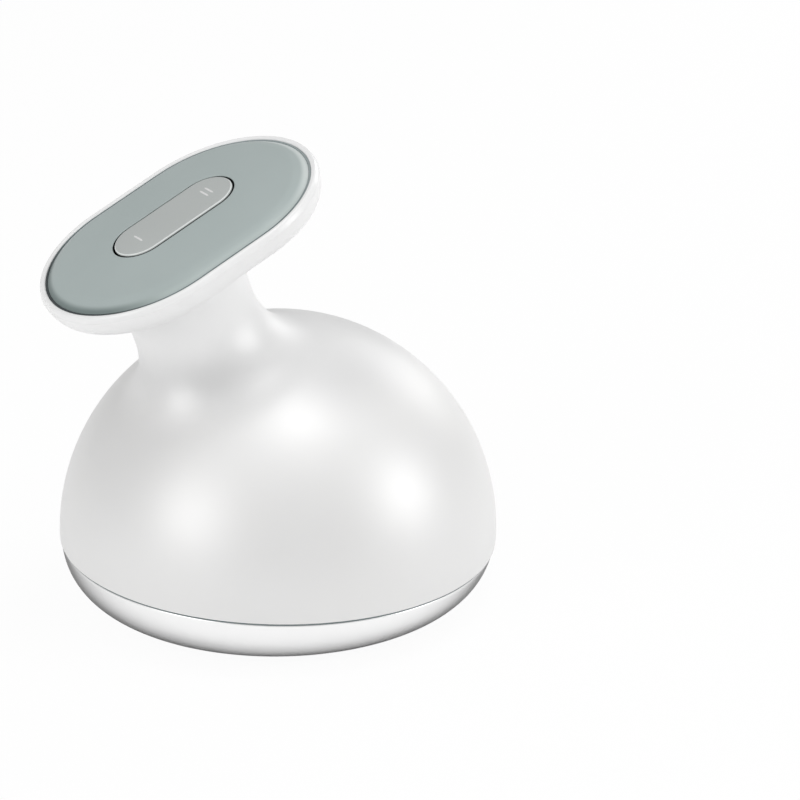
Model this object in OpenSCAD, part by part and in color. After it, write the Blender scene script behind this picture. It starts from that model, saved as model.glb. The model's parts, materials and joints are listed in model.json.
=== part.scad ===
// Handheld facial toning device: a domed body on a ring-electrode base, with a waisted
// neck that carries a tilted oval head and its two-ended key.
//
// Frame: millimetres, +Z up, the device resting on its electrodes at Z = 0. The Z axis
// runs through the centre disc, -X is the front, which the head leans over, and the XZ
// plane is the plane of symmetry.

/* [Dome and base] */
// Radius of the dome at its widest
dome_r = 49; // [48.6:0.1:49.4]
// Height of the dome's centre above the electrode faces
dome_z = 13.8; // [13.6:0.1:14.2]
// Wall of the moulded shell
shell_wall = 2.2; // [1.8:0.1:2.6]
// Radius at the foot of the lower bezel
bezel_foot_r = 36.1; // [36.1:0.1:36.6]
// Slope of the parting line, which rises towards the front, in degrees
seam_slope = 1.6; // [0:0.1:1.6]
// Depth of the parting line below the dome's centre, on the axis
seam_drop = 1.45; // [1.4:0.05:1.8]

/* [Head] */
// Length of the top panel
panel_len = 63.9; // [62:0.1:66]
// Width of the top panel
panel_w = 47.1; // [46:0.1:49]
// Rise of the panel's middle above its edge
panel_crown = 2.5; // [2.2:0.1:2.8]
// Tilt of the head, front edge down, in degrees
head_tilt = 24.1; // [20:0.1:27]
// Place of the panel's centre along X
head_x = -24.2; // [-26:0.1:-22]
// Height of the panel's centre, at the level of its edge
head_z = 89.9; // [88:0.1:92]

/* [Neck] */
// Size of the neck's oval along the head
neck_len = 28.3; // [27:0.1:30]
// Size of the neck's oval from side to side
neck_w = 22.8; // [21:0.1:25]
// Lean of the neck towards the front, in degrees
neck_lean = 19.5; // [17:0.1:22]
// Distance from the panel's centre forward to the neck's axis
neck_shift = 4.5; // [3.5:0.1:5.5]
// Height over which the neck flares into the head
head_flare = 9; // [7:0.5:10]
// Height of the fillet between the dome and the neck
fillet_rise = 12; // [9:0.5:12]
// Reach of that fillet over the dome
fillet_reach = 11; // [8:0.5:12]

/* [Key] */
// Length of the key
key_len = 29.4; // [28.6:0.1:30]
// Width of the key
key_w = 12.5; // [12.2:0.1:13]
// Gap between the key and the panel
key_gap = 0.5; // [0.4:0.05:0.7]
// Distance from the key's pivot to each of its two plungers
key_lever = 10; // [9.6:0.1:10.4]

/* [Electrode face] */
// Radius of the centre disc
disc_r = 16.8; // [16.4:0.1:16.9]
// Inner radius of the inner electrode
inner_ring_in = 19.5; // [19.4:0.1:19.7]
// Outer radius of the inner electrode
inner_ring_out = 22.6; // [22.5:0.1:22.8]
// Inner radius of the outer electrode
outer_ring_in = 24.9; // [24.7:0.1:25.1]
// Outer radius of the outer electrode
outer_ring_out = 28.1; // [27.9:0.1:28.3]
// Inner radius of the ribbed light ring
light_in = 30.4; // [30.2:0.1:30.6]
// Outer radius of the ribbed light ring
light_out = 33.8; // [33.6:0.1:34]
// Radial ribs on the light ring
light_ribs = 180; // [90:10:180]

/* [Hidden] */
$fn = 96;

// Colours
pearl_white = [0.93, 0.93, 0.92];
grey_teal = [0.62, 0.66, 0.65];
dark_teal = [0.28, 0.37, 0.38];
pale_teal = [0.70, 0.79, 0.80];
chrome = [0.85, 0.86, 0.87];
satin_metal = [0.88, 0.89, 0.89];
silicone = [0.16, 0.19, 0.19];
board_green = [0.10, 0.33, 0.24];
black_plastic = [0.10, 0.10, 0.11];

// Lower body: the bezel rolls from the dome's radius in to its foot
bezel_foot_z = 0.8;
bezel_drop = dome_z - bezel_foot_z;
bezel_in = dome_r - bezel_foot_r;
bezel_power = 2.14;
bezel_wall = 2;
bezel_step = 0.35;          // the dome stands this far outside the bezel at the seam
seam_gap = 0.2;
tongue_r = 45.2;            // outside of the bezel's locating tongue
bezel_tongue_t = 1.2;
tongue_top = dome_z + 2.4;

// Shell bosses, case screws and board standoffs
boss_r = 3.6;
boss_at = 32.5;
boss_angles = [45, 135, 225, 315];
boss_root = 0.7;            // depth that a boss runs into the dome's wall
boss_hole_r = 1.1;
case_screw = [1.05, 2.1, 1.5, 12]; // shaft radius, head radius, head height, length
flange_z = 7;
flange_t = 2;
flange_in = 28.7;
board_z = 18;
board_t = 1.6;
board_r = 37.5;
standoff_places = [[31.5, 11.5], [31.5, -11.5], [-31.5, 11.5], [-31.5, -11.5]];
standoff_r = 2.4;
standoff_hole_r = 0.9;
board_screw = [0.85, 1.9, 1.2, 7];

// Charging inlet at the back
port_w = 8.9;
port_h = 3.2;
port_z = board_z + board_t + port_h/2;
port_front = 46.6;
port_depth = 8;
port_clear = 0.6;           // added to the socket's size for its slot in the dome
port_recess = [4, 3.4];     // added to it for the flat-bottomed recess
port_recess_x = 47.4;       // the recess's floor

// Head section, in head coordinates: x along the panel, z out of it
rim_top = -1.3;             // parting between the lip frame and the tray
rim_edge = [1.27, rim_top]; // [offset out from the panel's edge, height]
rim_under = [-3.5, -6.9];
rim_roll = 4.5;             // the rim rolls in from this far outside its underside
lip_gap = 0.15;             // between the panel and the lip round it
lip_top = 0.05;
lip_flat = 0.2;             // bevel inside the lip, by the panel
lip_square = 0.22;          // how far the lip's roll bulges out before it turns down
tongue_h = 1.3;
tongue_t = 1.05;
neck_depth = 8.7;
tray_floor = -5.2;
tray_wall_in = -1.3;        // offset of the tray's pocket from the panel's edge
panel_roll = 2.5;           // width of the rolled border
panel_roll_h = 1.1;
panel_wall = 1.6;
panel_edge = -0.5;          // bottom of the panel's border, which rests on its seal
shelf_z = -0.9;
key_proud = 0.15;
key_bevel = 0.5;
pivot_z = -0.5;
pivot_r = 0.75;
pivot_clear = 0.05;
plunger_r = 1.1;
plunger_clear = 0.05;
plunger_top = -1.28;
key_nub_z = -1.2;
carrier_z = -2.2;
carrier_t = 0.8;
key_board_z = -4.6;
key_board_t = 1;
post_places = [[17.5, 8], [17.5, -8], [-17.5, 8], [-17.5, -8]];
post_r = 1.8;               // posts under the panel that the key's carrier is screwed to
post_h = 2.6;
post_hole_r = 0.7;
key_screw = [0.65, 1.3, 0.5, 4.6];

// Electrode stack
plate_z = 0.9;
plate_top = 3.9;
plate_web_z = 2.6;
ring_edge = 0.35;
rim_t = 1.1;                // wall of the plate's rim, which seats under the flange
clamp_z = 5.4;
light_top = 2.4;
led_count = 12;
led_at = (light_in + light_out)/2;
led_board_t = 1;
led_t = 1.1;
led_window_r = 1.45;
contact_r = 0.9;            // posts behind the electrodes
contact_top = 4.2;
contact_clear = 0.15;
inner_contact_at = 21.4;
outer_contact_at = (outer_ring_in + outer_ring_out)/2;
ring_clear = 0.12;          // between each ring and the walls of its channel
flange_r = 20.2;            // of the disc, the gasket and their clamp
flange_low = 4.2;
clamp_t = 1.4;
clamp_angles = [0, 120, 240];
clamp_screw_at = 23.4;
clamp_screw = [0.65, 1.4, 0.8, 4.6];
lug_r = 1.5;                // lugs of the plate that take the clamp's screws
disc_top = 8;

// Steps of the lofted skin
skin_steps = 72;
rim_steps = 6;
flare_steps = 7;
fillet_steps = 7;
dome_steps = 12;

// ---------------------------------------------------------------- shared functions

function unit(v) = v/norm(v);
function bezier(a, b, c, t) = a*pow(1 - t, 2) + b*2*t*(1 - t) + c*t*t;
function slerp(a, b, t) =
    let(w = acos(a*b)) (a*sin((1 - t)*w) + b*sin(t*w))/sin(w);
function catmull(a, b, c, d, t) =
    (b*2 + (c - a)*t + (a*2 - b*5 + c*4 - d)*t*t + (b*3 - a - c*3 + d)*t*t*t)/2;

// A point given in head coordinates
function on_head(p) = [
    head_x + p.x*cos(head_tilt) - p.z*sin(head_tilt),
    p.y,
    head_z + p.x*sin(head_tilt) + p.z*cos(head_tilt)
];

// Distance from the panel's centre to its outline, grown by an offset
function panel_reach(angle, grow) =
    let(r = panel_w/2 + grow, half = (panel_len - panel_w)/2,
        c = abs(cos(angle)), s = abs(sin(angle)))
    r*c <= half*s ? r/s : half*c + sqrt(r*r - pow(half*s, 2));

// Radius of the lower body at a height on or below the dome's centre
function lower_r(z) =
    let(u = min(1, max(0, (dome_z - z)/bezel_drop)))
    dome_r - bezel_in*(1 - pow(1 - pow(u, bezel_power), 1/bezel_power));

// Height of the parting plane at a place along X
function seam_z(x) = dome_z - seam_drop - tan(seam_slope)*x;

// Height of the panel's top at a distance from its middle line
function panel_top(d) =
    let(flat = panel_w/2 - panel_roll, u = (d - flat)/panel_roll)
    d <= flat
        ? panel_crown - (panel_crown - panel_roll_h)*pow(d/flat, 2)
        : panel_roll_h*sqrt(max(0, 1 - u*u));

// ---------------------------------------------------------------- shared shapes

module at_head() translate([head_x, 0, head_z]) rotate([0, -head_tilt, 0]) children();

module around(angles, radius)
    for (a = angles) rotate(a) translate([radius, 0, 0]) children();

// A round-ended outline
module stadium(length, width) {
    straight = length - width;
    translate([-straight/2, -width/2]) square([straight, width]);
    for (side = [-1, 1]) translate([side*straight/2, 0]) circle(width/2);
}

module panel_outline(grow) stadium(panel_len + 2*grow, panel_w + 2*grow);

// Sweeps a section round a stadium: x is the distance from its middle line
module stadium_sweep(straight) {
    for (side = [0, 180]) rotate(side) {
        translate([straight/2, 0, 0]) rotate(-90) rotate_extrude(angle = 180) children();
        translate([-straight/2, 0, 0]) rotate([90, 0, 90])
            linear_extrude(straight) children();
    }
}

// A flat ring, or a disc when the inner radius is zero
module ring(inner, outer, low, high) {
    translate([0, 0, low]) linear_extrude(high - low) difference() {
        circle(outer);
        if (inner > 0) circle(inner);
    }
}

module rounded_plate(length, width, corner, height) {
    linear_extrude(height) {
        square([length, width - 2*corner], center = true);
        square([length - 2*corner, width], center = true);
        for (x = [-1, 1], y = [-1, 1])
            translate([x*(length/2 - corner), y*(width/2 - corner)]) circle(corner);
    }
}

// A pan-head screw that points up, its head below z = 0, from its
// [shaft radius, head radius, head height, length]
module screw(size) {
    cylinder(r = size[0], h = size[3]);
    translate([0, 0, -size[2]]) cylinder(r = size[1], h = size[2]);
}

// Closed surface over a list of rings of points that run down the outside
module skin(rings) {
    n = len(rings[0]);
    last = len(rings) - 1;
    points = [for (r = rings) each r];
    sides = [for (i = [0:last - 1], k = [0:n - 1]) let(m = (k + 1) % n) each [
        [i*n + k, i*n + m, (i + 1)*n + m],
        [i*n + k, (i + 1)*n + m, (i + 1)*n + k]
    ]];
    top = [for (k = [n - 1:-1:0]) k];
    bottom = [for (k = [0:n - 1]) last*n + k];
    polyhedron(points, concat([top], sides, [bottom]), convexity = 8);
}

// A round wire along a smooth curve through its points
module wire(path, radius) {
    sides = 8;
    steps = 4;
    last = len(path) - 1;
    curve = [for (i = [0:last - 1], s = [0:steps - 1]) catmull(
        path[max(0, i - 1)], path[i], path[i + 1], path[min(last, i + 2)], s/steps),
        path[last]
    ];
    n = len(curve);
    skin([for (i = [n - 1:-1:0])
        let(along = unit(curve[min(n - 1, i + 1)] - curve[max(0, i - 1)]),
            side = unit(cross([0, 1, 0.01], along)), up = cross(along, side))
        [for (k = [0:sides - 1]) curve[i]
            + side*radius*cos(k*360/sides) + up*radius*sin(k*360/sides)]
    ]);
}

// ---------------------------------------------------------------- moulded shell

dome_centre = [0, 0, dome_z];
neck_axis = [-sin(neck_lean), 0, cos(neck_lean)];

function rim_point(angle, section) =
    let(d = panel_reach(angle, section[0]))
    on_head([d*cos(angle), d*sin(angle), section[1]]);
function neck_top(angle) =
    on_head([neck_len/2*cos(angle) - neck_shift, neck_w/2*sin(angle), -neck_depth]);
// Where the neck's wall, run on down, meets the dome
function neck_foot(angle) =
    let(p = neck_top(angle) - dome_centre, along = p*neck_axis)
    neck_top(angle) - neck_axis*(along - sqrt(along*along - p*p + dome_r*dome_r));
// A point on the dome between the foot of the neck (0) and the widest line (1)
function on_dome(angle, share) =
    dome_centre + dome_r*slerp(unit(neck_foot(angle) - dome_centre),
        [cos(angle), sin(angle), 0], share);
function fillet_share(angle) =
    let(w = acos(unit(neck_foot(angle) - dome_centre)*[cos(angle), sin(angle), 0]))
    fillet_reach/(dome_r*w*PI/180);
function seam_point(angle) =
    let(z = seam_z(dome_r*cos(angle)), r = lower_r(z))
    [r*cos(angle), r*sin(angle), seam_z(r*cos(angle))];

// Corner of the rim's curve: it arrives in line with the flare that follows it
function rim_corner(angle) =
    let(under = rim_point(angle, rim_under))
    under + unit(under - neck_top(angle))*rim_roll;
// Corner of the fillet's curve: where the neck's wall meets the plane that lies on the
// dome at the fillet's end, so that the curve leaves both without a crease
function fillet_corner(angle) =
    let(foot = neck_foot(angle), end = on_dome(angle, fillet_share(angle)),
        normal = unit(end - dome_centre))
    foot + neck_axis*((end - foot)*normal)/(neck_axis*normal);

// The skin runs from the head's rim under the head, down the neck and over the dome
function shell_rings(angles) = [
    for (i = [0:rim_steps]) [for (a = angles)
        bezier(rim_point(a, rim_edge), rim_corner(a), rim_point(a, rim_under), i/rim_steps)],
    for (i = [1:flare_steps]) [for (a = angles)
        bezier(rim_point(a, rim_under), neck_top(a),
            neck_top(a) - neck_axis*head_flare, i/flare_steps)],
    for (i = [0:fillet_steps]) [for (a = angles)
        bezier(neck_foot(a) + neck_axis*fillet_rise, fillet_corner(a),
            on_dome(a, fillet_share(a)), i/fillet_steps)],
    for (i = [1:dome_steps]) [for (a = angles)
        let(s = fillet_share(a)) on_dome(a, s + (1 - s)*i/dome_steps)],
    [for (a = angles) seam_point(a)]
];

module shell_skin()
    skin(shell_rings([for (k = [0:skin_steps - 1]) k*360/skin_steps]));

// The hollow under the dome: a half ball on a short drum, which runs past the seam
module dome_hollow(r) {
    drum = 8;
    translate(dome_centre) rotate_extrude() {
        intersection() {
            circle(r);
            square(r);
        }
        translate([0, -drum]) square([r, drum]);
    }
}

// The neck's wall is thicker than the dome's, because the head is pulled by the hand
module neck_bore() {
    wall = shell_wall + 0.7;
    below = 30;
    above = 4;
    translate(on_head([-neck_shift, 0, -neck_depth])) rotate([0, -neck_lean, 0])
        translate([0, 0, -below]) linear_extrude(below + above)
            stadium(neck_len - 2*wall, neck_w - 2*wall);
}

module shell_bosses() {
    intersection() {
        translate([0, 0, flange_z + flange_t]) around(boss_angles, boss_at)
            cylinder(r = boss_r, h = dome_r);
        translate(dome_centre) sphere(dome_r - shell_wall + boss_root);
    }
}

// A bar along X with the socket's round-ended outline, made larger by a margin
module port_bar(from, to, margin)
    translate([from, 0, port_z]) rotate([90, 0, 90])
        linear_extrude(to - from) stadium(port_w + margin.x, port_h + margin.y);

// Flat-bottomed recess and slot for the charging inlet
module port_cut() {
    port_bar(port_front - port_depth/2, dome_r, [port_clear, port_clear]);
    port_bar(port_recess_x, dome_r + 1, port_recess);
}

module main_shell() {
    color(pearl_white) difference() {
        union() {
            difference() {
                shell_skin();
                dome_hollow(dome_r - shell_wall);
                neck_bore();
                at_head() translate([0, 0, tray_floor]) linear_extrude(8)
                    panel_outline(tray_wall_in);
            }
            shell_bosses();
        }
        translate([0, 0, flange_z + flange_t - 1]) around(boss_angles, boss_at)
            cylinder(r = boss_hole_r, h = case_screw[3] + 1);
        port_cut();
    }
}

// ---------------------------------------------------------------- head

head_straight = panel_len - panel_w;
panel_half = panel_w/2;

// The lip round the panel: a rolled edge, a shelf under the panel's border and a tongue
// that drops into the tray
module head_frame() {
    inside = panel_half + lip_gap;
    lip_steps = 6;
    roll = [for (i = [0:lip_steps]) bezier([inside + lip_flat, lip_top],
        [panel_half + rim_edge[0] - lip_square, lip_top], [panel_half + rim_edge[0], rim_top],
        i/lip_steps)];
    tongue = panel_half + tray_wall_in - 0.05;
    color(pearl_white) at_head() stadium_sweep(head_straight) polygon(concat(
        [[inside, shelf_z], [inside, lip_top - lip_flat]], roll,
        [[tongue, rim_top], [tongue, rim_top - tongue_h],
        [tongue - tongue_t, rim_top - tongue_h], [tongue - tongue_t, shelf_z]]
    ));
}

module panel_seal() {
    color(silicone) at_head() stadium_sweep(head_straight)
        translate([panel_half - 2.2, shelf_z]) square([2.1, panel_edge - shelf_z]);
}

module top_panel() {
    flat = panel_half - panel_roll;
    crown_steps = 7;
    roll_steps = 7;
    color(grey_teal) at_head() difference() {
        union() {
            stadium_sweep(head_straight) polygon([
                for (i = [0:crown_steps])
                    let(d = flat*i/crown_steps) [d, panel_top(d)],
                for (i = [1:roll_steps])
                    let(d = flat + panel_roll*sin(90*i/roll_steps)) [d, panel_top(d)],
                [panel_half, panel_edge],
                for (i = [crown_steps:-1:0])
                    let(d = flat*i/crown_steps) [d, panel_top(d) - panel_wall]
            ]);
            for (p = post_places) translate([p.x, p.y, carrier_z + carrier_t])
                cylinder(r = post_r, h = post_h);
        }
        translate([0, 0, -1]) linear_extrude(panel_crown + 2)
            stadium(key_len + 2*key_gap, key_w + 2*key_gap);
        for (p = post_places) translate([p.x, p.y, carrier_z])
            cylinder(r = post_hole_r, h = post_h + 0.4);
    }
}

// The key is a crowned cap with a web on the pivot pin and a nub over each plunger
module rocker_key() {
    half = key_w/2;
    cap_wall = 1.2;
    web_z = -1.9;
    crown_steps = 5;
    inside = panel_top(half) - 1.5;
    color(grey_teal) at_head() difference() {
        union() {
            stadium_sweep(key_len - key_w) polygon([
                for (i = [0:crown_steps]) let(d = (half - key_bevel)*i/crown_steps)
                    [d, panel_top(d) + key_proud],
                [half - key_bevel*0.3, panel_top(half) + key_proud - key_bevel*0.3],
                [half, panel_top(half) + key_proud - key_bevel],
                [half, -0.2], [half - cap_wall, -0.2],
                [half - cap_wall, inside], [0, inside]
            ]);
            translate([-2, -2.9, web_z]) cube([4, 5.8, inside + 0.1 - web_z]);
            for (side = [-1, 1]) translate([side*key_lever, 0, key_nub_z])
                cylinder(r = 1.5, h = inside + 0.1 - key_nub_z);
        }
        translate([0, 0, pivot_z]) rotate([90, 0, 0])
            cylinder(r = pivot_r + pivot_clear, h = 8, center = true);
    }
}

module pivot_pin() {
    color(chrome) at_head() translate([0, 0, pivot_z]) rotate([90, 0, 0])
        cylinder(r = pivot_r, h = 9.2, center = true);
}

module key_carrier() {
    ear_t = 1.4;
    color(black_plastic) at_head() difference() {
        union() {
            translate([0, 0, carrier_z]) linear_extrude(carrier_t) stadium(43, 22);
            for (side = [-1, 1]) translate([-2.2, side*3.9 - ear_t/2, carrier_z])
                cube([4.4, ear_t, 2.7]);
            for (p = post_places) translate([p.x, p.y, key_board_z + key_board_t])
                cylinder(r = 2, h = carrier_z - key_board_z - key_board_t + 0.1);
        }
        for (side = [-1, 1]) translate([side*key_lever, 0, carrier_z - 1])
            cylinder(r = 2.4, h = 3);
        translate([-2.8, -3.1, carrier_z - 1]) cube([5.6, 6.2, 3]);
        for (p = post_places) translate([p.x, p.y, key_board_z])
            cylinder(r = 0.9, h = 5);
        translate([0, 0, pivot_z]) rotate([90, 0, 0])
            cylinder(r = pivot_r + 0.01, h = 12, center = true);
    }
}

module key_board() {
    color(board_green) at_head() translate([0, 0, key_board_z])
        linear_extrude(key_board_t) difference() {
            stadium(46, 25);
            for (p = post_places) translate(p) circle(0.9);
        }
}

module switch_body(side) {
    base = key_board_z + key_board_t;
    color(black_plastic) at_head() translate([side*key_lever, 0, base]) difference() {
        translate([-2.3, -2.3, 0]) cube([4.6, 4.6, 1.3]);
        translate([0, 0, 0.1]) cylinder(r = plunger_r + plunger_clear, h = 2);
    }
}

module plunger(side) {
    color(satin_metal) at_head() translate([side*key_lever, 0, -3.0])
        cylinder(r = plunger_r, h = plunger_top + 3.0);
}

module front_switch() switch_body(-1);
module rear_switch() switch_body(1);
module front_plunger() plunger(-1);
module rear_plunger() plunger(1);

module key_screws() {
    color(chrome) at_head() for (p = post_places)
        translate([p.x, p.y, key_board_z]) screw(key_screw);
}

// Four wires from the key's board down the neck to the main board
module key_harness() {
    board_end = on_head([-neck_shift, 0, key_board_z - 0.15]);
    color(black_plastic) for (k = [-1.5:1:1.5]) translate([0, k*1.1, 0]) wire([
        board_end, board_end - neck_axis*9, board_end - neck_axis*20,
        [-20, 0, 56], [-29, 0, 44], [-34, 0, 33], [-33, 0, board_z + board_t + 4]
    ], 0.45);
    color(satin_metal) translate([-35.5, -3.5, board_z + board_t]) cube([5, 7, 4.2]);
}

// ---------------------------------------------------------------- base

module bezel_ring() {
    steps = 14;
    angles = [for (i = [0:steps]) 90*i/steps];
    roll = 2/bezel_power;
    inner_foot_z = bezel_foot_z + bezel_wall;
    inner_r = dome_r - bezel_wall - 0.3;
    skirt_r = bezel_foot_r + bezel_wall;
    color(pearl_white) {
        difference() {
            rotate_extrude() polygon([
                for (a = angles) [
                    dome_r - bezel_step - (bezel_in - bezel_step)*(1 - pow(cos(a), roll)),
                    dome_z - bezel_drop*pow(sin(a), roll)
                ],
                [bezel_foot_r, flange_z], [flange_in, flange_z],
                [flange_in, flange_z + flange_t], [skirt_r, flange_z + flange_t],
                for (i = [steps:-1:0]) let(a = angles[i]) [
                    inner_r - (inner_r - skirt_r)*(1 - pow(cos(a), roll)),
                    dome_z - (dome_z - inner_foot_z)*pow(sin(a), roll)
                ]
            ]);
            translate([0, 0, dome_z - seam_drop - seam_gap]) rotate([0, seam_slope, 0])
                translate([-60, -60, 0]) cube([120, 120, 20]);
            translate([0, 0, flange_z - 1]) around(boss_angles, boss_at)
                cylinder(r = 1.3, h = 4);
        }
        ring(tongue_r - bezel_tongue_t, tongue_r, flange_z - 0.5, tongue_top);
        for (p = standoff_places) translate([p.x, p.y, flange_z + flange_t - 0.5])
            difference() {
                cylinder(r = standoff_r, h = board_z - flange_z - flange_t + 0.5);
                translate([0, 0, 2]) cylinder(r = standoff_hole_r, h = board_z);
            }
    }
}

module case_seal() color(silicone)
    ring(tongue_r + 0.02, dome_r - shell_wall - 0.15, dome_z + 0.4, dome_z + 1.6);

module case_screws() color(chrome) translate([0, 0, flange_z])
    around(boss_angles, boss_at) screw(case_screw);

// The carrier of the rings: channels for both electrodes and for the light ring
module electrode_plate() {
    inner = inner_ring_in - 0.25;
    edge = bezel_foot_r - 0.1;
    color(dark_teal) difference() {
        union() {
            rotate_extrude() polygon([
                [inner, plate_web_z], [inner, plate_top], [edge - rim_t, plate_top],
                [edge - rim_t, flange_z], [edge, flange_z],
                [edge, plate_z], [light_out + 0.05, plate_z],
                [light_out + 0.05, light_top], [light_in - 0.05, light_top],
                [light_in - 0.05, plate_z], [outer_ring_out + ring_clear, plate_z],
                [outer_ring_out + ring_clear, plate_web_z],
                [outer_ring_in - ring_clear, plate_web_z],
                [outer_ring_in - ring_clear, plate_z], [inner_ring_out + ring_clear, plate_z],
                [inner_ring_out + ring_clear, plate_web_z]
            ]);
            around(clamp_angles, clamp_screw_at) translate([0, 0, plate_top - 0.5])
                cylinder(r = lug_r, h = clamp_z - plate_top + 0.5);
        }
        around([for (k = [0:led_count - 1]) k*360/led_count], led_at)
            translate([0, 0, plate_web_z - 1]) cylinder(r = led_window_r, h = 4);
        for (side = [90, 270], at = [inner_contact_at, outer_contact_at])
            rotate(side) translate([at, 0, 1]) cylinder(r = contact_r + contact_clear, h = 5);
        around(clamp_angles, clamp_screw_at)
            translate([0, 0, plate_top - 2]) cylinder(r = post_hole_r, h = 5);
    }
}

// The ribs are shallow ridges that run straight out from the inside of the ring
module light_ring() {
    low = 0.6;
    groove = 0.22;
    top = light_top;
    inner = light_in + 0.05;
    outer = light_out - 0.05;
    count = 2*light_ribs;
    color(pale_teal) {
        points = [for (k = [0:count - 1])
            let(a = k*360/count, z = low + (k % 2)*groove, d = [cos(a), sin(a)]) each [
                [inner*d.x, inner*d.y, z], [outer*d.x, outer*d.y, z],
                [outer*d.x, outer*d.y, top], [inner*d.x, inner*d.y, top]
            ]];
        faces = [for (k = [0:count - 1], i = [0:3])
            let(m = (k + 1) % count, j = (i + 1) % 4) each [
                [4*k + i, 4*k + j, 4*m + j], [4*k + i, 4*m + j, 4*m + i]
            ]];
        polyhedron(points, faces, convexity = 6);
    }
}

// A turned ring with bevelled edges and two contact posts behind it
module electrode(inner, outer, contact_at) {
    color(chrome) {
        rotate_extrude() polygon([
            [inner, ring_edge], [inner + ring_edge*0.3, ring_edge*0.3],
            [inner + ring_edge, 0], [outer - ring_edge, 0],
            [outer - ring_edge*0.3, ring_edge*0.3], [outer, ring_edge],
            [outer, plate_web_z], [inner, plate_web_z]
        ]);
        around([90, 270], contact_at) translate([0, 0, plate_web_z - 0.2])
            cylinder(r = contact_r, h = contact_top - plate_web_z + 0.2);
    }
}

module outer_electrode() electrode(outer_ring_in, outer_ring_out, outer_contact_at);
module inner_electrode() electrode(inner_ring_in, inner_ring_out, inner_contact_at);

module centre_disc() {
    wall = 1.4;
    face_t = 1.6;
    color(satin_metal) rotate_extrude() polygon([
        [0, 0], [disc_r - 0.5, 0], [disc_r - 0.15, 0.15], [disc_r, 0.5],
        [disc_r, flange_low], [flange_r, flange_low], [flange_r, clamp_z], [disc_r, clamp_z],
        [disc_r, disc_top], [disc_r - wall, disc_top], [disc_r - wall, face_t], [0, face_t]
    ]);
}

module disc_gasket() {
    inner = disc_r + ring_clear;
    outer = inner_ring_in - 0.3;
    face_z = 0.75;
    shoulder = 0.35;
    color(silicone) rotate_extrude() polygon([
        [inner, face_z + shoulder], [inner + shoulder, face_z],
        [outer - shoulder, face_z], [outer, face_z + shoulder],
        [outer, plate_top], [flange_r - 0.1, plate_top], [flange_r - 0.1, flange_low],
        [inner, flange_low]
    ]);
}

// The vibrating plate, bonded to the inside of the disc's face
module piezo_disc() color([0.75, 0.72, 0.62]) ring(0, 12.5, 1.6, 3.8);

module disc_clamp() {
    ear_r = 2.6;
    ear = 4.5;
    inner = disc_r + 0.3;
    color(black_plastic) translate([0, 0, clamp_z]) linear_extrude(clamp_t) difference() {
        union() {
            circle(flange_r);
            around(clamp_angles, clamp_screw_at) {
                circle(ear_r);
                translate([-ear, -ear_r]) square([ear, 2*ear_r]);
            }
        }
        around(clamp_angles, clamp_screw_at) circle(0.9);
        circle(inner);
    }
}

module clamp_screws() color(chrome) translate([0, 0, clamp_z + clamp_t])
    around(clamp_angles, clamp_screw_at) rotate([180, 0, 0]) screw(clamp_screw);

module led_board() {
    color(board_green) translate([0, 0, flange_z - led_board_t])
        linear_extrude(led_board_t) difference() {
            circle(bezel_foot_r - rim_t - 0.3);
            circle(flange_in + 0.1);
            around(boss_angles, boss_at) circle(2.3);
        }
}

module leds() color([0.95, 0.93, 0.80])
    around([for (k = [0:led_count - 1]) k*360/led_count], led_at)
        translate([-1.4, -1.7, flange_z - led_board_t - led_t]) cube([2.8, 3.4, led_t]);

// Sprung contact pins that stand on the electrodes' posts
module electrode_contacts() {
    pin_len = 4.5;
    color(chrome) for (side = [90, 270], at = [inner_contact_at, outer_contact_at])
        rotate(side) translate([at, 0, contact_top]) {
            cylinder(r = 0.6, h = pin_len + 0.5);
            translate([0, 0, pin_len]) cylinder(r = 1.2, h = board_z - contact_top - pin_len);
        }
}

module main_board() {
    color(board_green) translate([0, 0, board_z]) linear_extrude(board_t) difference() {
        union() {
            circle(board_r);
            translate([30, -6.5]) square([14.5, 13]);
        }
        around(boss_angles, boss_at) circle(boss_r + 0.5);
        for (p = standoff_places) translate(p) circle(1.1);
    }
}

// Chips as [x, y, length, width, height], all on the top of the board
chip_places = [
    [10, 3, 10, 10, 1.6], [-8, -8, 7, 7, 1.2], [-9, 8, 6, 5, 1.5],
    [16, -10, 5, 4, 1.5], [33, 0, 4, 8, 1.2], [20, 30, 6, 3, 2], [-18, -31, 7, 4, 2]
];

module board_chips() {
    color(black_plastic) for (c = chip_places)
        translate([c[0] - c[2]/2, c[1] - c[3]/2, board_z + board_t])
            cube([c[2], c[3], c[4]]);
    color(satin_metal) for (x = [-13, 13]) translate([x, 25, board_z + board_t])
        cylinder(r = 3, h = 7);
}

module drive_coil() {
    color([0.72, 0.42, 0.20]) translate([0, -27.5, board_z + board_t]) {
        cylinder(r = 6.5, h = 1);
        cylinder(r = 5.4, h = 8);
        translate([0, 0, 7]) cylinder(r = 6.5, h = 1);
    }
}

module buzzer() {
    color(black_plastic) translate([0, 27, board_z + board_t]) difference() {
        cylinder(r = 6, h = 4.5);
        translate([0, 0, 3.5]) cylinder(r = 1, h = 2);
    }
}

module board_screws() color(chrome) for (p = standoff_places)
    translate([p.x, p.y, board_z + board_t]) rotate([180, 0, 0]) screw(board_screw);

// A flat oval socket with its contact tongue
module charge_port() {
    walls = 0.7;
    back = 1.5;
    tongue = [6.6, 0.7, 6];
    color(chrome) translate([port_front - port_depth, 0, port_z]) rotate([90, 0, 90]) {
        difference() {
            linear_extrude(port_depth) stadium(port_w, port_h);
            translate([0, 0, back]) linear_extrude(port_depth)
                stadium(port_w - walls, port_h - walls);
        }
        translate([-tongue.x/2, -tongue.y/2, back - 0.5]) cube(tongue);
    }
}

battery_z = board_z + board_t + 5.6;

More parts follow.
